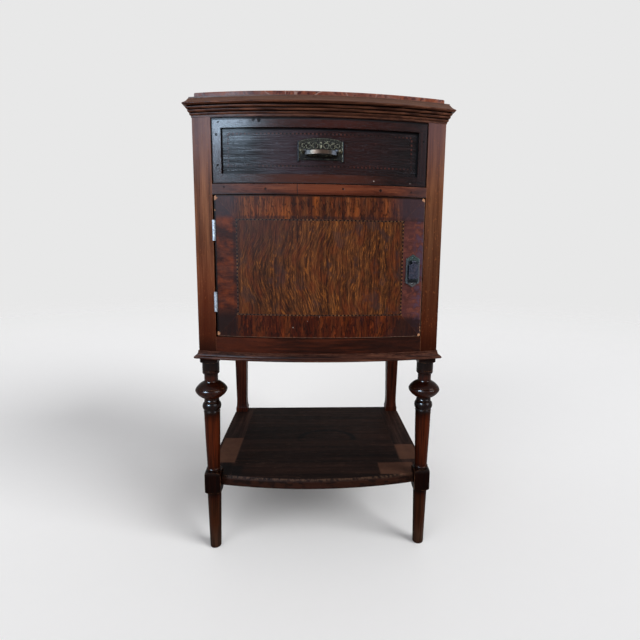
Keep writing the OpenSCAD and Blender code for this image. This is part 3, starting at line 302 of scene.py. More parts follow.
def wood(name, along, dark, middle, light, often=230, sway=0.0015, cloud=0.35, pores=0.5,
         rough=(0.28, 0.48), worn=0.35, dirt=0.6, seed=1, shine=0.03, extras=(), depth=0.0004):
    """Polished wood with its grain along x, y or z. Each extra changes the finish before wear and dirt."""
    finish = Finish(name, Specular_IOR_Level=shine, Coat_Roughness=0.16)
    bent = finish.swayed(tuple(0 if axis == along else sway for axis in "xyz"), stretched(along, 60), seed)
    streak = finish.noise(stretched(along, often), seed, 4.0, 0.55, bent)
    line = finish.noise(stretched(along, often * 4.2), seed + 3, 3.0, 0.6, bent)
    tone = (streak * 0.68 + line * 0.32).rise(0.3, 0.7)
    finish.colour = finish.ramp(tone, (0.0, seen(*dark)), (0.45, seen(*middle)), (1.0, seen(*light)))
    patch = finish.noise(stretched(along, 16, 6), seed + 5, 3.0, 0.6)
    finish.shade(1 - cloud * patch.fall(0.35, 0.62))
    pore = finish.noise(stretched(along, often * 9), seed + 7, 2.0, 0.7, bent).rise(0.6, 0.72)
    finish.tint([part * 0.35 for part in dark], pore * pores)
    polish = finish.noise(70, seed + 9, 4.0, 0.6)
    finish.roughness = rough[0] + (rough[1] - rough[0]) * polish + pore * 0.15
    finish.height = line * 0.35 - pore * 0.6 + polish * 0.25
    finish.change(extras)
    if worn:
        rubbed = finish.edges(0.0011) * finish.noise(120, seed + 11, 3.0).rise(0.38, 0.62)
        finish.tint([part * 1.25 + 18 for part in light], rubbed * worn)
    if dirt:
        finish.tint((8, 5, 4), finish.hollows(0.004) * dirt)
    return finish.done(depth)


def dress(material, *starts):
    """Puts a material into the slots of all CAD nodes whose names start so."""
    dressed = [name for name in nodes if name.startswith(starts)]
    for name in dressed:
        for slot in nodes[name].material_slots:
            slot.link, slot.material = "OBJECT", material
    print(material.name, "on", ", ".join(dressed))


def box_of(name):
    """The lowest and highest x, y and z of a node."""
    corners = [nodes[name].matrix_world @ Vector(corner) for corner in nodes[name].bound_box]
    return [min(c[i] for c in corners) for i in range(3)], [max(c[i] for c in corners) for i in range(3)]


for corner in box_of("door_panel"):
    print("a corner of the door panel:", tuple(round(part, 4) for part in corner))

# %% [markdown]
# ## Posts and turned legs
# Each front post is one piece of reddish-brown wood from the foot to the cornice. Its square
# upper part is worn to a warm brown, with a pale grey painted reflection towards the top, and
# the right post is darker by painted shade. The turned parts below hold far more stain: the
# rings are nearly black with a hard shine, the shafts deep red-brown, the square blocks at the
# shelf blackest, and their sides and backs are darkened as painted shade. A ramp over the height
# sets these zones, and a coat of shellac gives the turned parts their small sharp lights.

# %% Dress the posts
TURNED_TOP, SHAFT_RADIUS = 0.356, 0.0115
LEG_ZONES = [  # height, and how much of the colour is left there
    (0.0, 0.14), (0.05, 0.2), (0.098, 0.15), (0.106, 0.03), (0.15, 0.04), (0.158, 0.22), (0.2, 0.36),
    (0.24, 0.36), (0.248, 0.24), (0.258, 0.04), (0.279, 0.04), (0.288, 0.2), (0.3, 0.12), (0.311, 0.08),
    (0.318, 0.24), (0.324, 0.1), (0.334, 0.06), (0.346, 0.03), (TURNED_TOP, 0.1)]
foot = [vertex.co.y for vertex in nodes["front_post_left"].data.vertices if vertex.co.z < 0.05]
leg_y = (min(foot) + max(foot)) / 2


def leg_zones(finish, x, y, z):
    """Darkens the turned leg zone by zone, paints shade on the right post and on the legs' sides and backs,
    and paints a grey reflection on the top of the post.
    """
    tone = finish.ramp(z / TURNED_TOP, *[(height / TURNED_TOP, (share, share, share, 1))
                                         for height, share in LEG_ZONES])
    turned = z.fall(TURNED_TOP - 0.0005, TURNED_TOP + 0.0005)
    finish.tint((94, 34, 10), z.fall(0.37, 0.6) * 0.8)
    # Painted shade: the right post is darker, most of all in its middle.
    finish.shade(1 - x.rise(-0.05, 0.15) * (0.18 + 0.45 * z.fall(0.48, 0.7) - 0.25 * turned))
    # Painted reflection: the first layer greys the top of the post.
    finish.tint(
        (92, 70, 74), z.rise(0.62, 0.74) * 0.6,
        (158, 92, 50), finish.noise((330, 330, 200), 28).rise(0.62, 0.7) * 0.22)
    left_post = x.fall(-0.1, 0.1)
    grime = (0.5 + 0.35 * left_post) * z.fall(0.366, 0.425 + 0.02 * left_post)
    finish.shade(1 - grime.most(0.55 * z.fall(0.4, 0.5) * left_post) * (1 - turned))
    finish.tint(
        (116, 48, 22), turned * 0.6,
        (112, 66, 40), z.fall(0.085, 0.105) * 0.6,
        (146, 112, 92), z.fall(0.01, 0.055) * 0.5)
    streak = finish.noise((300, 300, 10), 22, 3.0, 0.6).rise(0.44, 0.6)
    finish.tint((38, 18, 12), turned * streak * 0.55)
    # Painted shade: the mask rubbed is 1 on the front of each turned leg, and its sides and back are
    # darkened.
    rubbed = ((leg_y - y) / SHAFT_RADIUS).rise(-0.1, 0.95)
    finish.shade(1 - turned * (1 - rubbed) * 0.65)
    finish.shade(finish.mix((1, 1, 1, 1), tone, turned))
    finish.height += turned * finish.noise((8, 8, 2600), 21, 1.0) * 0.4
    polished = z.rise(0.25, 0.262) * z.fall(0.345, TURNED_TOP)
    finish.coat = 0.16 * polished.most(z.rise(0.14, 0.147) * z.fall(0.15, 0.156))


dress(wood("post_wood", "z", (74, 40, 22), (112, 68, 44), (140, 92, 62), seed=2, often=120, cloud=0.3,
           shine=0.02, extras=[leg_zones]), "front_post")
# The right back leg is darkened: painted shade.
dress(wood("back_leg_wood", "z", (28, 10, 5), (58, 24, 14), (84, 38, 22), seed=4,
           extras=[lambda finish, x, y, z: finish.shade(1 - 0.42 * x.rise(-0.05, 0.05))]), "back_post")

# %% [markdown]
# ## Mouldings
# The cornice and the base moulding have their grain along the wood. Years of wax sit in the
# grooves between the reeds as black lines, the ridges are rubbed orange-brown, and the slope
# on top has gone pale and pinkish where dusters passed. The side mouldings run front to back,
# so they get the same recipe with the grain turned.

# %% Dress the mouldings
SLOPE = 0.7615  # where the cornice's slope begins


def dusted_slope(finish, x, y, z):
    """The slope on top of the cornice, paler and with scuffs along it."""
    slope = z.rise(SLOPE - 0.001, SLOPE + 0.002)
    finish.tint((90, 66, 56), slope * 0.85)
    scuff = finish.noise((30, 30, 700), 23, 3.0, 0.6).rise(0.5, 0.62)
    finish.tint((66, 44, 36), slope * scuff * 0.35)
    knock = finish.noise(160, 24).rise(0.6, 0.66)
    finish.tint((30, 17, 13), knock * 0.2)


for name, along, seed, *dressed in (("moulding_wood", "x", 5, "cornice_front"),
                                    ("side_moulding_wood", "y", 6, "cornice_left", "cornice_right")):
    dress(wood(name, along, (36, 15, 9), (74, 43, 31), (118, 74, 54), seed=seed, dirt=0.97, worn=0.5,
               extras=[dusted_slope]), *dressed)
for name, along, seed, *dressed in (("base_moulding_wood", "x", 25, "base_moulding_front"),
                                    ("side_base_wood", "y", 26, "base_moulding_left",
                                     "base_moulding_right")):
    dress(wood(name, along, (26, 11, 7), (58, 32, 24), (92, 58, 44), seed=seed, dirt=0.9, worn=0.6),
          *dressed)

# %% [markdown]
# ## Rails and side panels
# The divider between drawer and door is patched from two lengths, which meet in a fine dark
# line, and nails were driven through it: dark dots. Its lower edge is painted black as the
# shade in the gap above the door.
# The rail below the door is deep red, redder still at the left and darker at the right.

# %% Dress the rails
divider_foot = box_of("divider_rail")[0][2]
JOINT = -0.0365
NAILS = [(-0.1525, 0.636, 0.0009), (-0.0863, 0.6332, 0.0012), (0.0354, 0.6345, 0.0011),
         (0.0953, 0.6336, 0.0015), (0.146, 0.6324, 0.0009)]


def nailed_divider(finish, x, y, z):
    """Painted black shade along the lower edge, greyer ends, a warmer middle, the joint between two lengths,
    and the nails.
    """
    # The first layer is painted shade: the lower edge is black where the gap above the door lies in shadow.
    finish.tint(
        (8, 5, 5), z.fall(divider_foot + 0.0006, divider_foot + 0.0026) * 0.95,
        (58, 44, 44), abs(x).rise(0.11, 0.17) * 0.7,
        (104, 48, 27), abs(x - 0.02).fall(0.02, 0.1) * 0.3)
    joint = abs(x - JOINT).fall(0.0003, 0.0009)
    nails = finish.spots(NAILS, 2.0)
    finish.tint((14, 7, 6), joint.most(nails) * 0.9)
    finish.height -= joint * 1.5 + nails * 3.0


def darker_ends(finish, x, y, z):
    """The rail under the door: darker at the right, redder at the left."""
    finish.tint(
        (30, 14, 10), x.rise(0.02, 0.12) * 0.6,
        (84, 36, 18), x.fall(-0.13, -0.03) * 0.35)


dress(wood("rail_wood", "x", (50, 20, 12), (90, 46, 31), (116, 66, 44), seed=7, cloud=0.25, often=120,
           extras=[nailed_divider]), "divider_rail")
dress(wood("top_rail_wood", "x", (26, 12, 8), (54, 30, 22), (80, 48, 36), seed=27), "top_rail_front",
      "door_stop")
dress(wood("bottom_rail_wood", "x", (18, 6, 3), (40, 15, 7), (66, 28, 14), seed=8, extras=[darker_ends]),
      "bottom_rail")
dress(wood("panel_wood", "z", (50, 23, 13), (80, 42, 26), (106, 62, 40), seed=9, often=110, sway=0.006),
      "side_panel")

# %% [markdown]
# ## The drawer front
# The sunk panel is very dark, and its polish has sunk into the open grain, so that thin black
# lines run across it a few millimetres apart. A noise that is stretched sideways gives them:
# wherever it passes its middle value there is a line. The panel also carries a grey painted
# reflection left of its middle, and panel and frame get painted shade towards the right.
# The flat frame round it is the same wood, redder and browner where sleeves rubbed its lower
# strip, and nearly black along its rim, where the shade of the gaps and the cornice is painted.

# %% Dress the drawer front
FRAME_INSIDE, FRAME_OUTSIDE = 0.156, 0.17
NAIL_HOLES = [(-0.1594, 0.7338, 0.0009), (-0.1035, 0.7365, 0.0013), (-0.0948, 0.7355, 0.0017),
              (-0.1629, 0.7154, 0.0013), (-0.1618, 0.6694, 0.001), (0.164, 0.7116, 0.0011)]
PAINT_SPECKS = [(0.0839, 0.6476, 0.0006), (0.1434, 0.646, 0.0004)]


def sunk_lines(finish, x, y, z):
    """Black lines along the grain, fine scratches, a red patch, a grey patch of painted reflection, painted
    shade towards the right, and painted shadow under the frame.
    """
    line = finish.hairs((4, 4, 210), 0.045, 31).most(finish.hairs((12, 12, 420), 0.03, 33) * 0.6)
    finish.tint((4, 2, 2), line * 0.8)
    scratch = finish.noise((500, 500, 180), 35, 3.0, 0.6).rise(0.64, 0.7) * abs(x - 0.079).fall(0.004, 0.03)
    # The third layer, grey at the left of the middle, is a painted reflection.
    finish.tint(
        (92, 60, 52), scratch * 0.7,
        (50, 18, 16), abs(x - 0.05).fall(0.02, 0.13) * 0.3,
        (78, 60, 70), abs(x + 0.05).fall(0.015, 0.07) * 0.3)
    panel_top = box_of("drawer_frame_stiles")[1][2]
    under_frame = (panel_top - z).fall(0.0022, 0.0045).most((FRAME_INSIDE - x).fall(0.002, 0.004))
    under_frame = under_frame.most((x + FRAME_INSIDE).fall(0.0012, 0.0025) * 0.7)
    finish.tint((5, 3, 4), under_frame * 0.9)
    finish.roughness += under_frame.most(line * 0.4) * 0.6
    # Painted shade: the right of the panel is darker.
    finish.shade(1 - 0.35 * x.rise(0.04, 0.14))
    finish.height += finish.noise((190, 190, 900), 38, 4.0, 0.7) * 0.6 - line * 1.8
    finish.coat = 0.03


def frame_marks(finish, x, y, z):
    """Old nail holes, specks of paint, a brown rubbed lower strip, a rim of painted black shade, and painted
    shade towards the right.
    """
    low, high = box_of("drawer_frame_rails")
    finish.tint(
        (86, 46, 34), z.fall(low[2] + 0.012, low[2] + 0.016) * abs(x + 0.01).fall(0.03, 0.14) * 0.45,
        (72, 32, 24), z.rise(high[2] - 0.015, high[2] - 0.012) * abs(x - 0.02).fall(0.0, 0.16) * 0.35)
    # Painted shade: the rim is black where the gaps round the drawer and the cornice above lie in shadow.
    inwards = (z - low[2]).least(high[2] - 0.0012 - z).least(FRAME_OUTSIDE - abs(x))
    rim = inwards.fall(0.0003, 0.0018)
    holes = finish.spots(NAIL_HOLES, 1.9)
    finish.roughness += holes.most(rim) * 0.6
    finish.tint(
        (6, 4, 4), rim * 0.9,
        (4, 3, 4), holes * 0.95,
        (190, 176, 170), finish.spots(PAINT_SPECKS, 2.0) * 0.8)
    # Painted shade: the frame is darker towards the right.
    finish.shade(1 - 0.3 * x.rise(0.03, 0.14))
    finish.height += finish.noise((500, 500, 700), 39, 4.0, 0.7) * 0.5 - holes * 3.0
    finish.coat = 0.025


dress(wood("drawer_front_wood", "x", (7, 4, 4), (19, 9, 9), (39, 20, 17), seed=10, often=260,
           rough=(0.2, 0.34), shine=0.055, extras=[sunk_lines], depth=0.0007), "drawer_front")
for name, along, seed, dressed in (("frame_wood", "x", 11, "drawer_frame_rails"),
                                   ("frame_stile_wood", "z", 12, "drawer_frame_stiles")):
    dress(wood(name, along, (16, 6, 5), (31, 13, 11), (50, 25, 21), seed=seed, rough=(0.18, 0.32),
               shine=0.055, extras=[frame_marks]), dressed)

# %% [markdown]
# ## The door
# The door's middle is veneered with a coarse wavy grain, golden between dark lines. The border
# is laid across: on the top and bottom strips the streaks run up and down, on the side strips
# they run sideways and the wood looks cloudy. The outer edge is rubbed, and at the corners
# the veneer has chipped off down to pale wood.

# %% Wear of the door's border
door_low, door_high = box_of("door_panel")
line_low, line_high = box_of("door_stringing")
DOOR_MIDDLE = 0.5098
CHIPS = [(-0.1672, 0.6195, 0.0034), (-0.169, 0.6004, 0.0013), (0.169, 0.6222, 0.0034),
         (-0.168, 0.4, 0.003), (0.1698, 0.397, 0.0038), (0.1705, 0.406, 0.0014),
         (0.1705, 0.4115, 0.0012)]
SPECKS = [(-0.0535, 0.4338, 0.0005), (-0.0434, 0.4133, 0.0006), (-0.02, 0.4239, 0.0004),
          (-0.0007, 0.4312, 0.0004)]


def door_rim(finish, x, y, z):
    """A dark line of painted shade in the gaps at the left and top of the door, rubbed pale at the right and
    below, and the chips.
    """
    # The first two layers are painted shade: the gaps at the left and top of the door.
    side = (x - door_low[0]).least(door_high[2] - z)
    rough_edge = (finish.noise(260, 41) - 0.5) * 0.003
    finish.tint(
        (10, 6, 6), (side + rough_edge * 0.4).fall(0.0008, 0.0024) * 0.85,
        (9, 5, 5), (x - door_low[0] + rough_edge * 0.6).fall(0.0014, 0.0034) * 0.8)
    rubbed = (door_high[0] - x).least(z - door_low[2]) + rough_edge
    finish.tint((100, 80, 70), rubbed.fall(0.0002, 0.0012) * 0.6)
    ragged = (finish.noise(330, 42, 4.0, 0.7) - 0.5) * 0.0085
    chip = finish.spots(CHIPS, 1.1, ragged) * y.fall(-0.167, -0.165)
    finish.tint(
        (168, 122, 92), chip * 0.85,
        (170, 160, 150), finish.spots(SPECKS, 1.6) * 0.7)
    finish.height -= chip * 1.5


def grimy_border(finish, x, y, z):
    """Grime along the outside of the chequered line, at the left and above."""
    outside = (line_low[0] - x).most(z - line_high[2])
    strip = outside.rise(-0.001, 0.0) * outside.fall(0.003, 0.007)
    finish.tint((32, 22, 23), strip * finish.noise(90, 60).rise(0.25, 0.55) * 0.65)


def dark_corners(finish, x, y, z):
    """All four corners of the border are clouded, so the mitres hardly show."""
    corner = x.fall(-0.145, -0.12).most(x.rise(0.105, 0.138)) * abs(z - DOOR_MIDDLE).rise(0.074, 0.086)
    cloudy = corner * finish.noise(50, 47).rise(0.2, 0.45)
    low = z.fall(0.45, 0.58)
    finish.tint(finish.mix(seen(50, 39, 44), seen(30, 18, 17), low), cloudy * 0.85)


print("the door has", len(CHIPS), "chips and", len(SPECKS), "specks")

# %% [markdown]
# The upper and the lower strip show upright planks of colour, and the two at the sides show
# clouds. Each strip also gets the wear of the whole border.

# %% The strips of the door's border
def end_strips(finish, x, y, z):
    """Upright planks of colour, darker towards the right; the lower strip deep red."""
    plank = finish.noise((40, 40, 7), 45, 3.0, 0.6)
    finish.tint(
        (156, 82, 32), plank.rise(0.48, 0.7) * 0.55,
        (44, 18, 11), plank.fall(0.34, 0.5) * 0.45)
    crack = finish.hairs((240, 240, 40), 0.045, 46, finish.swayed((0.004, 0, 0), (60, 60, 40), 58))
    low = z.fall(0.45, 0.58)
    finish.tint((62, 16, 5), low * 0.6)
    flame = finish.noise((230, 230, 60), 61, 4.0, 0.65)
    finish.tint(
        (132, 60, 26), flame.rise(0.54, 0.66) * (0.3 + 0.15 * low),
        (28, 13, 10), flame.fall(0.36, 0.46) * 0.45,
        (20, 9, 7), crack * 0.7)
    finish.shade(1 - 0.2 * low)
    finish.tint((40, 24, 26), x.rise(0.04, 0.1) * finish.noise((40, 40, 12), 57).rise(0.46, 0.6) * 0.6)


def side_strips(finish, x, y, z):
    """Sideways clouds: orange at the left, redder at the right, nearly black at the lower left, and a
    painted bluish reflection at the right edge.
    """
    cloud = finish.noise((30, 30, 52), 48, 5.0, 0.65)
    left = x.fall(-0.1, 0.1)
    finish.tint(
        (120, 54, 22), left * cloud.rise(0.44, 0.68) * 0.6,
        (88, 54, 54), (1 - left) * 0.4,
        (24, 15, 12), left * z.fall(0.425, 0.452) * 0.75,
        (42, 22, 19), cloud.fall(0.36, 0.52) * 0.55)
    blotch = finish.noise((90, 90, 110), 56, 4.0, 0.6)
    # The second layer, bluish at the right edge, is a painted reflection.
    finish.tint(
        (112, 62, 48), (1 - left) * blotch.rise(0.52, 0.62) * 0.4,
        (64, 54, 72), x.rise(0.148, 0.166) * blotch.fall(0.42, 0.56) * 0.6)


border_wear = (grimy_border, dark_corners, door_rim)
print("each strip gets", 1 + len(border_wear), "extras")

# %% [markdown]
# The grain of the middle bends slowly. The coordinates are pushed sideways by a slow noise before a
# stretched noise draws the flecks, so that the flecks lean this way and that.

# %% Dress the door
FIELD_LEFT, FIELD_RIGHT = -0.133, 0.134


def field_figure(finish, x, y, z):
    """Golden flecks and dark wavy lines, dark clouds at the upper left, and a dark rim."""
    bent = finish.swayed((0.085, 0, 0.008), (7, 7, 6), 43)
    fleck = finish.noise((640, 640, 85), 44, 4.0, 0.7, bent)
    line = finish.noise((400, 400, 26), 59, 2.0, 0.5, bent)
    broad = finish.noise((55, 55, 24), 49, 3.0, 0.6, bent)
    finish.tint(
        (96, 42, 20), broad.fall(0.36, 0.52) * 0.5,
        (148, 86, 36), fleck.rise(0.51, 0.64) * (0.2 + 0.5 * broad.rise(0.4, 0.6)),
        (24, 12, 9), fleck.fall(0.38, 0.5) * 0.5,
        (22, 12, 11), line.fall(0.38, 0.5) * 0.5)
    upper_left = x.fall(-0.11, 0.03) * z.rise(0.5, 0.58)
    patch = finish.noise((30, 30, 26), 50, 4.0, 0.6).rise(0.53, 0.62)
    finish.tint((50, 36, 36), upper_left.most(patch) * 0.5)
    rim = (x - FIELD_LEFT).least(FIELD_RIGHT - x)
    finish.tint((36, 22, 18), rim.fall(0.001, 0.007) * 0.4)
    finish.height += fleck * 0.8 + line * 0.5


dress(wood("field_wood", "z", (44, 22, 12), (78, 44, 24), (108, 66, 36), seed=13, often=190, sway=0.006,
           worn=0, extras=[field_figure]), "door_field_veneer")
dress(wood("door_edge_wood", "z", (38, 18, 11), (66, 38, 25), (96, 62, 44), seed=14, extras=[door_rim]),
      "door_panel")
dress(wood("band_end_wood", "z", (40, 15, 8), (88, 44, 24), (124, 72, 40), seed=15, often=150, cloud=0.4,
           worn=0.2, extras=[end_strips, *border_wear]), "door_crossband_rails")
dress(wood("band_side_wood", "x", (34, 13, 9), (62, 29, 20), (88, 46, 32), seed=16, often=120, cloud=0.5,
           worn=0.2, extras=[side_strips, *border_wear]), "door_crossband_stiles")

# %% [markdown]
# ## The shelf
# The shelf is nearly black with wear. Something stood on it and left half of a faint ring. Its
# two end boards run the other way and are rubbed brown in patches with straight borders, where
# a cloth or a box lay, and the front edge is bare in places.

# %% Dress the shelf
shelf_top = box_of("shelf_board")[1][2]


def patch_of(x, y, left, right, front, back, soft=0.004):
    """1 inside a rectangle of x and y with soft borders."""
    return (x - left).least(right - x).least(y - front).least(back - y).rise(0, soft)


def shelf_wear(finish, x, y, z):
    """Half of a faint ring, scratches, brown patches and the rubbed front edge."""
    across = (((x - 0.02) / 1.35) ** 2.0 + (y - 0.01) ** 2.0).root()
    ring = abs(across - 0.042).fall(0.002, 0.007) * y.rise(-0.02, 0.015)
    finish.tint((6, 4, 4), ring * 0.95)
    bent = finish.swayed((0.02, 0.03, 0), 9, 52)
    scratch = finish.noise((40, 900, 900), 51, 2.0, 0.5, bent).rise(0.66, 0.7)
    finish.tint((84, 62, 50), scratch * 0.5)
    brown = patch_of(x, y, -0.1995, -0.157, -0.098, 0.017).most(patch_of(x, y, 0.158, 0.201, -0.092, -0.022))
    brown = brown.most(patch_of(x, y, 0.112, 0.182, -0.15, -0.102)) * (0.6 + 0.6 * finish.noise(70, 53))
    finish.tint(
        (92, 62, 48), brown * 0.62,
        (9, 7, 7), patch_of(x, y, -0.185, -0.135, -0.165, -0.103, 0.01) * 0.8)
    near_front = y.fall(-0.15, -0.135)
    bare = z.rise(shelf_top - 0.006, shelf_top - 0.0015) * near_front * finish.edges(0.0035).most(
        1 - z.rise(shelf_top - 0.0004, shelf_top))
    bare = bare * finish.noise((210, 210, 150), 54, 4.0, 0.7).rise(0.42, 0.6)
    finish.tint((90, 66, 50), bare * 0.45)
    front = z.fall(shelf_top - 0.005, shelf_top - 0.002)
    finish.tint(
        (44, 22, 13), front * 0.6,
        (10, 6, 5), front * finish.noise((60, 60, 120), 55, 4.0, 0.6).rise(0.5, 0.6) * 0.7)


dress(wood("shelf_wood", "x", (15, 8, 6), (27, 15, 11), (40, 24, 18), seed=17, extras=[shelf_wear],
           often=120, shine=0.02, rough=(0.5, 0.7), cloud=0.5), "shelf_board")
dress(wood("clamp_wood", "y", (20, 11, 8), (38, 24, 20), (58, 40, 33), seed=18, cloud=0.6, often=120,
           shine=0.02, rough=(0.5, 0.7), extras=[shelf_wear]), "shelf_clamp")

# %% [markdown]
# ## Bare wood inside
# The drawer box, the boards behind and the parts that carry the drawer never had polish. They
# are a pale timber, gone brown with age, with dust in the pores.

# %% Dress the inside
def bare_wood(name, along, seed, **extras):
    """Wood that never had polish."""
    return wood(name, along, (104, 72, 44), (146, 108, 72), (174, 136, 96), seed=seed, often=140,
                sway=0.005, pores=0.35, rough=(0.6, 0.8), worn=0.15, dirt=0.4, shine=0.1, cloud=0.25,
                **extras)


BOARDS = 4


def four_boards(finish, x, y, z):
    """Every board of the back comes from another tree: a little lighter or darker."""
    low, high = box_of("back_boards")
    board = finish.sum_of("FLOOR", (x - low[0]) / ((high[0] - low[0]) / BOARDS))
    chance = finish.add("ShaderNodeTexWhiteNoise", {"W": board + 0.37}, "Value", noise_dimensions="1D")
    finish.shade(0.68 + 0.34 * chance)
    damp = finish.noise((14, 14, 9), 37, 4.0, 0.6).rise(0.5, 0.62)
    finish.tint((84, 62, 46), damp * 0.4)


dress(bare_wood("bare_wood_sideways", "x", 19),
      "top_rail_back", "drawer_stops", "drawer_back", "cupboard_floor", "drawer_bottom")
dress(bare_wood("bare_wood_front_to_back", "y", 20),
      "drawer_runner", "drawer_guide", "drawer_kicker", "drawer_side", "floor_bearers")
dress(bare_wood("bare_wood_upright", "z", 21, extras=[four_boards]), "back_boards")

# %% [markdown]
# ## Marble
# The slab is a red-brown marble with grey and pink patches, a few thin pale veins and maroon
# spots. Patches come from two slow noises, veins from the borders of a pushed-about net of cells.

# %% Dress the marble
def make_marble():
    finish = Finish("marble", Specular_IOR_Level=0.03)
    bent = finish.swayed(0.05, 14, 61)
    patch = finish.noise(42, 62, 6.0, 0.62, bent)
    finish.colour = finish.ramp(patch, (0.3, seen(66, 24, 18)), (0.45, seen(112, 58, 42)),
                                (0.56, seen(120, 74, 60)), (0.7, seen(124, 100, 95)))
    finish.tint(
        (150, 84, 54), finish.noise(75, 68, 3.0, 0.6, bent).rise(0.52, 0.62) * 0.6,
        (58, 15, 12), finish.noise(150, 63, 4.0, 0.6, bent).rise(0.53, 0.6) * 0.85)
    grey = abs(finish.x - 0.03).rise(0.09, 0.2)
    blush = finish.noise(60, 69, 4.0, 0.6, bent).rise(0.42, 0.56)
    finish.tint((118, 102, 106), grey * blush * 0.65)
    vein = finish.cracks(21, 64, finish.swayed(0.06, 22, 65))
    healed = finish.noise(17, 70).rise(0.46, 0.6)
    finish.tint((172, 150, 142), vein.fall(0.003, 0.03) * (0.05 + 0.5 * healed))
    cloud = finish.noise(9, 60)
    finish.tint(
        (112, 88, 86), cloud.rise(0.5, 0.66) * 0.35,
        (70, 26, 20), cloud.fall(0.34, 0.48) * 0.4)
    grain = finish.noise(700, 66)
    finish.shade(0.75 + grain * 0.5)
    finish.roughness = 0.36 + 0.2 * finish.noise(50, 67)
    finish.height = grain
    return finish.done(0.0001, 0.3)


dress(make_marble(), "marble_top")

# %% [markdown]
# ## Metal
# All old metal is made alike: a mottled body, stains, edges rubbed bright, and dirt that stays
# in the hollows.

# %% Make a metal finish
def metal(name, body, bright, stain, stained=0.4, rough=(0.28, 0.5), metallic=0.85, seed=1, fine=400,
          slots=(), shine=0.5, extras=()):
    """Old metal: its body, bright edges, stains, dirt in the hollows, and slots at given heights."""
    finish = Finish(name, Metallic=metallic, Specular_IOR_Level=shine)
    mottle = finish.noise(fine, seed, 4.0, 0.6)
    finish.colour = finish.mix(seen(*body), seen(*[part * 0.6 for part in body]), mottle.rise(0.4, 0.65))
    patina = finish.noise(fine / 3, seed + 1, 4.0, 0.65).rise(0.48, 0.62)
    finish.tint(
        stain, patina * stained,
        bright, finish.edges(0.0004) * 0.7,
        [part * 0.25 for part in body], finish.hollows(0.0015) * 0.8)
    finish.roughness = rough[0] + (rough[1] - rough[0]) * mottle + patina * 0.15
    finish.height = mottle
    finish.change(extras)
    for height in slots:
        finish.tint((16, 15, 14), abs(finish.z - height).fall(0.00022, 0.00036))
    return finish.done(0.0001, 0.4)


print("metal is made of a body, stains, bright edges and dirt")

# %% [markdown]
# The drawer handle is stamped brass gone dark bronze, bright only where it is touched. Its lower
# part is black with painted shadow under the bail, and its end bars carry a painted bluish
# reflection. The bail is dark in the middle, where fingers close round it, and its bends carry a
# painted bluish highlight.

# %% Dress the handle
PLATE_FACE = -0.1846  # y of the flat ground between the raised parts


def stamped(finish, x, y, z):
    """What stands up from the plate is rubbed to gold-grey; the ground is black, the lower part is black
    with painted shadow under the bail, and the end bars get a painted bluish reflection.
    """
    raised = y.fall(PLATE_FACE - 0.0006, PLATE_FACE - 0.0003)
    speck = finish.noise(620, 79, 3.0, 0.6)
    # Painted reflection: the end bars get a bluish tint.
    end_bars = abs(x).rise(0.0336, 0.0344)
    # Painted shadow: the black of the lower part is the shade under the bail.
    shaded_lower_part = z.fall(0.68, 0.692) * abs(x).fall(0.03, 0.034)
    finish.tint(
        (20, 17, 14), (1 - raised) * 0.7,
        (84, 80, 66), speck.rise(0.54, 0.64) * 0.5,
        (120, 112, 90), raised * speck.rise(0.46, 0.6) * 0.6,
        (26, 31, 38), end_bars * 0.85,
        (8, 7, 6), shaded_lower_part * 0.75)
    finish.roughness += end_bars * 0.25


BENDS = 0.0215  # how far the bail's bends lie from its middle


def held_and_highlit(finish, x, y, z):
    """The bail is darkest in the middle, and a painted bluish highlight lies where it bends towards its
    ends, stronger at the right.
    """
    # The first layer below is a painted highlight on the bends.
    bend_highlight = abs(abs(x) - BENDS).fall(0.001, 0.0065)
    finish.tint(
        (100, 108, 120), bend_highlight * (0.08 + 0.32 * x.rise(-0.01, 0.01)),
        (52, 36, 26), abs(x).fall(0.006, 0.017) * 0.7)


handle_metal = metal("handle_metal", (28, 25, 20), (96, 94, 84), (22, 28, 24), seed=71, rough=(0.44, 0.58),
                     metallic=0.5, shine=0.05, extras=[stamped])
dress(handle_metal, "handle_plate", "handle_bolts", "handle_nuts")
dress(metal("bail_metal", (46, 40, 33), (116, 112, 104), (34, 30, 26), seed=72, rough=(0.36, 0.48),
            shine=0.3, extras=[held_and_highlit]), "handle_bail")

# %% [markdown]
# The door's pull is darker, blue-grey with green spots. The hinges were painted silver, and
# their screws keep a dark slot at the height of each screw's middle, so the heights are
# measured first.

# %% Dress the pull, the hinges and the catch
def worn_rim(finish, x, y, z):
    """The pull's plate: rubbed along its outline, painted shadow under the drop, pale at its foot."""
    low, high = box_of("pull_plate")
    aside = abs(x - (low[0] + high[0]) / 2)
    finish.tint((20, 22, 26), aside.fall(0.007, 0.0085) * 0.7)
    foot = z.fall(low[2] + 0.0065, low[2] + 0.0085)
    # The first layer here is painted shadow under the drop.
    finish.tint(
        (10, 10, 12), aside.fall(0.0075, 0.009) * (1 - foot) * z.fall(low[2] + 0.011, low[2] + 0.013),
        (72, 67, 64), foot * aside.fall(0.005, 0.008) * 0.6,
        (104, 108, 108), aside.rise(0.0095, 0.0112) * 0.25,
        (56, 70, 62), z.rise(high[2] - 0.012, high[2] - 0.008) * 0.4)


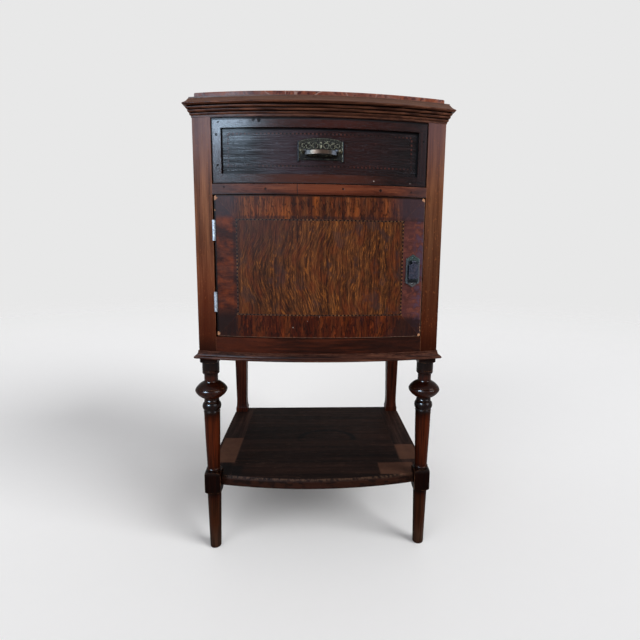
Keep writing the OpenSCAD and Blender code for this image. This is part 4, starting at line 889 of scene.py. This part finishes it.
dress(metal("pull_metal", (44, 46, 52), (128, 130, 132), (52, 66, 56), stained=0.5, seed=73, fine=600,
            extras=[worn_rim]), "pull_plate", "pull_pins")
dress(metal("drop_metal", (42, 43, 54), (98, 104, 120), (56, 48, 54), stained=0.6, seed=74, fine=600),
      "pull_drop")
dress(metal("hinge_metal", (152, 160, 170), (200, 208, 218), (112, 112, 108), stained=0.3, metallic=0.4,
            seed=75), "hinge_post_leaves", "hinge_pins", "hinge_door_leaves")
heights = sorted(vertex.co.z for vertex in nodes["hinge_post_screws"].data.vertices)
groups = [[heights[0]]]
for height in heights:
    if height - groups[-1][-1] > 0.005:
        groups.append([])
    groups[-1].append(height)
screw_heights = [(group[0] + group[-1]) / 2 for group in groups]
dress(metal("screw_metal", (150, 156, 160), (200, 206, 210), (96, 88, 80), metallic=0.5, seed=76,
            slots=screw_heights), "hinge_post_screws", "hinge_door_screws")
print("screw slots at heights", [round(height, 4) for height in screw_heights])
dress(metal("catch_metal", (150, 128, 80), (206, 190, 140), (90, 76, 44), seed=77), "ball_catch",
      "catch_plate")

# %% [markdown]
# ## The chequered lines
# Between the veneers runs a line of small blocks, light and dark in turn, about 3 mm each. A
# picture of a line would need a map; Geometry Nodes can lay the blocks themselves. Such a tree
# is a recipe too, with inputs that have names, and some of its steps serve three trees.

# %% Write trees that lay small pieces
class Blocks(Recipe):
    """A geometry tree with named inputs: numbers with their defaults, and materials."""

    def __init__(self, name, **inputs):
        super().__init__(bpy.data.node_groups.new(name, "GeometryNodeTree"))
        for end in ("INPUT", "OUTPUT"):
            self.tree.interface.new_socket("Geometry", in_out=end, socket_type="NodeSocketGeometry")
        for title, value in inputs.items():
            kind = {float: "Float", int: "Int"}.get(type(value), "Material")
            socket = self.tree.interface.new_socket(title.replace("_", " "), socket_type="NodeSocket" + kind)
            if value is not None:
                socket.default_value = value
        given = self.add("NodeGroupInput").socket.node.outputs
        self.given = {socket.name: Term(self, socket) for socket in given if socket.name}

    def steps(self):
        """Points along the wire that is given, one at every Step."""
        path = self.add("GeometryNodeMeshToCurve", {"Mesh": self.given["Geometry"]})
        return self.add("GeometryNodeCurveToPoints", {"Curve": path, "Length": self.given["Step"]},
                        mode="LENGTH")

    def uneven(self):
        """A size between 0.85 and 1.1 for every copy."""
        return self.add("FunctionNodeRandomValue", {
            "Min_001": 0.85, "Max_001": 1.1, "Seed": self.given["Seed"]}, "Value_001", data_type="FLOAT")

    def end(self, geometry):
        self.add("NodeGroupOutput", {0: geometry})
        return self.tree

    def copies(self, points, thing, **sockets):
        """Puts a copy of thing on every point, in the metal that is given, and ends the tree."""
        laid = self.add("GeometryNodeInstanceOnPoints", {"Points": points, "Instance": thing, **sockets})
        solid = self.add("GeometryNodeRealizeInstances", {"Geometry": laid})
        return self.end(self.add("GeometryNodeSetMaterial", {
            "Geometry": solid, "Material": self.given["Metal"]}))


print("a path can be cut into steps, with a copy on every point")

# %% [markdown]
# For a line, every second point gets a light block and the rest a dark one. Then the whole line
# is pushed onto the bowed front, which is part of a circle.

# %% Build the tree that lays a chequered line
BOW_RADIUS, BOW_CENTRE = 0.79769, 0.60989


def chequer_tree():
    """Blocks in two woods along a path, bent onto the bow."""
    made = Blocks("chequered line", Step=0.003, Width=0.002, Thickness=0.001, Bow_radius=BOW_RADIUS,
                  Bow_centre=BOW_CENTRE, Sunk=0.0, Light_wood=None, Dark_wood=None, Seed=1)
    given, points = made.given, made.steps()
    turn = made.add("FunctionNodeAlignRotationToVector", {"Vector": points.beside("Tangent")}, axis="X")
    remainder = made.sum_of("MODULO", made.add("GeometryNodeInputIndex"), 2.0)
    even = made.add("FunctionNodeCompare", {"A_INT": remainder, "B_INT": 0},
                    data_type="INT", operation="EQUAL")
    halves = made.add("GeometryNodeSeparateGeometry", {"Geometry": points, "Selection": even},
                      domain="POINT")
    size = made.add("ShaderNodeCombineXYZ", {
        0: given["Step"] * 0.95, 1: given["Thickness"], 2: given["Width"]})
    block = made.add("GeometryNodeMeshCube", {"Size": size})
    chance = made.add("FunctionNodeRandomValue", {
        0: (0.84, 1.0, 0.86), 1: (1.0, 1.0, 1.0), "Seed": given["Seed"]}, data_type="FLOAT_VECTOR")
    lines = []
    for half, woods in ((halves, "Light wood"), (halves.beside("Inverted"), "Dark wood")):
        laid = made.add("GeometryNodeInstanceOnPoints", {
            "Points": half, "Instance": block, "Rotation": turn, "Scale": chance})
        lines.append(made.add("GeometryNodeSetMaterial", {"Geometry": laid, "Material": given[woods]}))
    both = made.add("GeometryNodeJoinGeometry", {0: lines})
    solid = made.add("GeometryNodeRealizeInstances", {"Geometry": both})
    x = made.add("ShaderNodeSeparateXYZ", {0: made.add("GeometryNodeInputPosition")})
    y = given["Bow centre"] - (given["Bow radius"] ** 2.0 - x ** 2.0).root() + given["Sunk"]
    offset = made.add("ShaderNodeCombineXYZ", {1: y})
    return made.end(made.add("GeometryNodeSetPosition", {"Geometry": solid, "Offset": offset}))


chequer = chequer_tree()
print("tree", chequer.name, "has", len(chequer.nodes), "nodes")

# %% [markdown]
# The path is a loose set of four straight edges, so that each side starts with a whole block.
# The tree runs on it once, and its result is kept as a plain mesh.

# %% Lay the lines
def run_tree(name, tree, verts, edges, values):
    """Runs a tree on a wire and returns the result as a plain mesh object at the origin."""
    wire = bpy.data.meshes.new(name + "_path")
    wire.from_pydata(verts, edges, [])
    thing = bpy.data.objects.new(name, wire)
    bpy.context.collection.objects.link(thing)
    maker = thing.modifiers.new("maker", "NODES")
    maker.node_group = tree
    sockets = {item.name: item.identifier for item in tree.interface.items_tree if item.in_out == "INPUT"}
    for title, value in values.items():
        maker[sockets[title]] = value
    solid = bpy.data.meshes.new_from_object(thing.evaluated_get(bpy.context.evaluated_depsgraph_get()))
    thing.modifiers.clear()
    thing.data = solid
    solid.name = name
    print(name, "has", len(solid.polygons), "faces")
    return thing


def inlay(name, dark, middle, light, seed):
    """Wood of the small blocks, light or dark, under old polish that hides it in places."""
    finish = Finish(name, Specular_IOR_Level=0.05)
    tone = finish.noise(900, seed, 3.0).rise(0.3, 0.7)
    age = finish.noise(26, seed + 1, 3.0).rise(0.4, 0.58)
    finish.colour = finish.mix(seen(*middle), seen(*light), tone)
    finish.tint(dark, 0.15 + age * 0.75)
    finish.roughness = 0.32 + 0.2 * tone
    finish.height = tone
    return finish.done(0.0001, 0.3)


door_light = inlay("door_light_inlay", (52, 34, 26), (92, 60, 36), (112, 76, 46), 81)
door_dark = inlay("door_dark_inlay", (14, 9, 10), (13, 8, 8), (24, 14, 12), 83)
drawer_light = inlay("drawer_light_inlay", (30, 17, 16), (64, 32, 28), (82, 44, 36), 85)
drawer_dark = inlay("drawer_dark_inlay", (14, 9, 10), (12, 7, 8), (20, 12, 12), 87)


def chequered(name, body, node, left, right, low, high, step, sunk, woods):
    """A rectangle of blocks on the bow, between outer limits, in place of the plain line."""
    half = 0.0011  # half of the line's width
    foot, head = low + 2.4 * half, high - 2.4 * half
    verts = [(left, 0, low + half), (right, 0, low + half), (right, 0, high - half), (left, 0, high - half)]
    verts += [(x, 0, z) for x in (left + half, right - half) for z in (foot, head)]
    piece = run_tree(name, chequer, verts, [(0, 1), (3, 2), (4, 5), (6, 7)], {
        "Step": step, "Width": 2 * half, "Thickness": 0.001, "Sunk": sunk,
        "Light wood": woods[0], "Dark wood": woods[1], "Seed": 5})
    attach(piece, body)
    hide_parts(node)


SUNK, PANEL_SUNK = 0.00048, 0.0043 + 0.00048  # how far the blocks' middles lie behind the bow
chequered("door_chequered_line", "door", "door_stringing", -0.1346, 0.1361, 0.4324, 0.5871,
          0.00305, SUNK, (door_light, door_dark))
chequered("drawer_chequered_line", "drawer", "drawer_stringing", -0.146, 0.146, 0.6675, 0.718,
          0.0031, PANEL_SUNK, (drawer_light, drawer_dark))

# %% [markdown]
# ## Nails and stamped ornament
# Small round heads in a row are one tree as well: a path is cut into steps, and every point gets a
# flattened ball, half of it sunk in. With large steps these are the nails that hold the back
# boards to the rail above and to the cupboard floor. With tiny steps they are the beads that
# follow the crest of the handle plate. On the real cabinet the nails are iron, gone brown, and
# the beads were stamped into the plate from behind.

# %% Lay rows of heads
def row_tree():
    """Flattened balls along a path, each a little different."""
    made = Blocks("row of heads", Step=0.05, Radius=0.002, Height=0.0006, Wander=0.0, Metal=None, Seed=1)
    given = made.given
    stray = made.add("FunctionNodeRandomValue", {
        0: (-1.0, 0.0, -1.0), 1: (1.0, 0.0, 1.0), "Seed": given["Seed"]}, data_type="FLOAT_VECTOR")
    push = made.add("ShaderNodeVectorMath", {0: stray, "Scale": given["Wander"]}, operation="SCALE")
    moved = made.add("GeometryNodeSetPosition", {"Geometry": made.steps(), "Offset": push})
    ball = made.add("GeometryNodeMeshUVSphere", {"Segments": 8, "Rings": 5, "Radius": 1.0})
    flat = made.add("ShaderNodeCombineXYZ", {0: given["Radius"], 1: given["Height"], 2: given["Radius"]})
    size = made.add("ShaderNodeVectorMath", {0: flat, "Scale": made.uneven()}, operation="SCALE")
    return made.copies(moved, ball, Scale=size)


heads = row_tree()
nail_metal = metal("nail_metal", (70, 52, 42), (120, 104, 92), (60, 34, 22), stained=0.7,
                   rough=(0.5, 0.7), seed=78)
boards_low, boards_high = box_of("back_boards")
verts, edges = [], []
for rail in ("top_rail_back", "cupboard_floor"):
    low, high = box_of(rail)
    height = (low[2] + high[2]) / 2
    verts += [(x, boards_high[1], height) for x in (boards_low[0] + 0.022, boards_high[0] - 0.012)]
    edges.append((len(verts) - 2, len(verts) - 1))
nails = run_tree("back_board_nails", heads, verts, edges, {
    "Step": 0.043, "Radius": 0.0022, "Height": 0.0007, "Wander": 0.0015, "Metal": nail_metal, "Seed": 8})
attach(nails, "carcase")

# %% [markdown]
# The scrolls between the rings of the plate are spirals of thin round wire. The left ones are
# the right ones turned half round about the upright, which mirrors them without turning their
# faces inside out.

# %% Lay the scrolls and beads of the handle plate
def scroll_tree():
    """A spiral of round wire on every point, mirrored left and right."""
    made = Blocks("scrolls", Turns=1.6, Outer_radius=0.002, Inner_radius=0.0004, Wire=0.0003,
                  Metal=None, Seed=1)
    given = made.given
    spiral = made.add("GeometryNodeCurveSpiral", {
        "Resolution": 14, "Rotations": given["Turns"], "Start Radius": given["Inner radius"],
        "End Radius": given["Outer radius"], "Height": 0.0})
    ring = made.add("GeometryNodeCurvePrimitiveCircle", {"Resolution": 6, "Radius": given["Wire"]})
    wire = made.add("GeometryNodeCurveToMesh", {"Curve": spiral, "Profile Curve": ring, "Fill Caps": True})
    x = made.add("ShaderNodeSeparateXYZ", {0: made.add("GeometryNodeInputPosition")})
    turn = made.add("ShaderNodeCombineXYZ", {0: math.pi / 2, 2: made.sum_of("LESS_THAN", x, 0.0) * math.pi})
    points = made.add("GeometryNodeMeshToPoints", {"Mesh": given["Geometry"]})
    return made.copies(points, wire, Rotation=turn, Scale=made.uneven())


nut_low, nut_high = box_of("handle_nuts")
handle_z = (nut_low[2] + nut_high[2]) / 2 - 0.0003
PLACES = [(4.6, -1.4), (10.2, -2.2), (16.0, -1.8), (21.6, -2.4), (14.1, 8.2), (22.9, 7.2), (31.0, 11.4),
          (30.6, 3.6)]  # of the right scrolls, in millimetres from the plate's middle
CREST_STEPS = 24


def on_plate(x, z):
    """A point on the plate's face, from millimetres to the right of its middle and above it."""
    return x / 1000, PLATE_FACE, handle_z + z / 1000


verts = [on_plate(side * x, z) for x, z in PLACES for side in (1, -1)]
scrolls = run_tree("handle_scrolls", scroll_tree(), verts, [], {
    "Turns": 1.6, "Outer radius": 0.0019, "Inner radius": 0.0004, "Wire": 0.00042,
    "Metal": handle_metal, "Seed": 3})
angles = [math.pi * step / CREST_STEPS for step in range(CREST_STEPS + 1)]
verts = [on_plate(33.0 * math.cos(angle), 12.4 + 6.7 * math.sin(angle)) for angle in angles]
beads = run_tree("handle_beads", heads, verts, [(i, i + 1) for i in range(CREST_STEPS)], {
    "Step": 0.0017, "Radius": 0.00062, "Height": 0.0007, "Metal": handle_metal, "Seed": 4})
for piece in (scrolls, beads):
    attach(piece, "drawer")
print("the plate's middle is", round(handle_z, 4), "m high")

# %% [markdown]
# ## Floor, backdrop and light
# The cabinet stands on a plain pale floor. The floor fades out with distance into an even pale
# grey, which the world shows to the camera. Light comes from a broad bright sky, from a soft
# lamp at the right front that throws the shadow to the left, from a weaker one at the left
# front, and from two panes like windows, whose cool reflections lie on the drawer and the legs.

# %% Lay the floor
PALE, FLOOR = 0.807, 0.895  # what the camera sees behind, and the floor's own brightness


def make_floor():
    rings, spokes = (0.5, 1.0, 2.0, 4.0, 8.0), 64
    ways = [2 * math.pi * turn / spokes for turn in range(spokes)]
    verts = [(reach * math.cos(way), reach * math.sin(way), 0) for reach in rings for way in ways]
    verts.append((0, 0, 0))
    faces = []
    for turn in range(spokes):
        after = (turn + 1) % spokes
        faces.append((len(verts) - 1, turn, after))
        for inner in range(0, spokes * (len(rings) - 1), spokes):
            outer = inner + spokes
            faces.append((inner + turn, outer + turn, outer + after, inner + after))
    mesh = bpy.data.meshes.new("floor")
    mesh.from_pydata(verts, [], faces)
    floor = bpy.data.objects.new("floor", mesh)
    bpy.context.collection.objects.link(floor)
    finish = Finish("pale_floor", Specular_IOR_Level=0.0)
    away = (finish.x ** 2.0 + finish.y ** 2.0).root()
    finish.tree.links.new(away.fall(1.2, 4.5).socket, finish.shader.inputs["Alpha"])
    dust = finish.noise(40, 91, 4.0)
    finish.colour = finish.mix((FLOOR, FLOOR, FLOOR, 1), (FLOOR - 0.01, FLOOR - 0.01, FLOOR - 0.01, 1), dust)
    finish.roughness = 0.9
    floor.data.materials.append(finish.done())
    return floor


floor = make_floor()
print("floor reaches", max(vertex.co.x for vertex in floor.data.vertices), "m")

# %% [markdown]
# The world is brighter overhead than at the horizon, which keeps the polished front deep and
# dark. The camera and mirror-like surfaces meet the plain pale grey instead.

# %% Light the room
def make_world():
    world = bpy.data.worlds.new("room")
    world.use_nodes = True
    bpy.context.scene.world = world
    recipe = Recipe(world.node_tree)
    way = recipe.add("ShaderNodeTexCoord", out="Generated")
    height = recipe.add("ShaderNodeSeparateXYZ", {0: way}, "Z")
    sky = recipe.mix((0.28, 0.28, 0.29, 1), (0.52, 0.52, 0.53, 1), height.rise(0.15, 0.95))
    path = recipe.add("ShaderNodeLightPath", out="Is Camera Ray")
    plain = path.most(path.beside("Is Glossy Ray")).most(path.beside("Is Transmission Ray"))
    light = recipe.mix(sky, (PALE, PALE, PALE, 1), plain)
    recipe.tree.links.new(light.socket, recipe.tree.nodes["Background"].inputs["Color"])
    return world


def lamp(name, kind, at, towards, power, colour=(1, 1, 1), **settings):
    """A lamp at a point, turned towards another."""
    light = bpy.data.lights.new(name, kind)
    light.energy, light.color = power, colour
    for setting, value in settings.items():
        setattr(light, setting, value)
    thing = bpy.data.objects.new(name, light)
    bpy.context.collection.objects.link(thing)
    way = (Vector(towards) - Vector(at)).to_track_quat("-Z", "Y")
    thing.matrix_world = Matrix.Translation(at) @ way.to_matrix().to_4x4()
    return thing


make_world()
lamp("right_front", "SUN", (1.3, -0.9, 0.95), (0, 0, 0), 2.4, angle=math.radians(34))
lamp("left_front", "SUN", (-1.0, -1.6, 0.8), (0, 0, 0), 1.0, angle=math.radians(45))
for pane in (lamp("window_left", "AREA", (-1.2, -1.62, 1.4), (-0.15, -0.17, 0.72), 250, (0.58, 0.78, 1.0),
                  shape="RECTANGLE", size=0.8, size_y=0.6),
             lamp("window_right", "AREA", (1.6, -1.6, 1.1), (0.15, -0.17, 0.6), 11, (0.6, 0.74, 1.0),
                  shape="RECTANGLE", size=0.5, size_y=1.2)):
    pane.visible_diffuse = pane.visible_camera = False
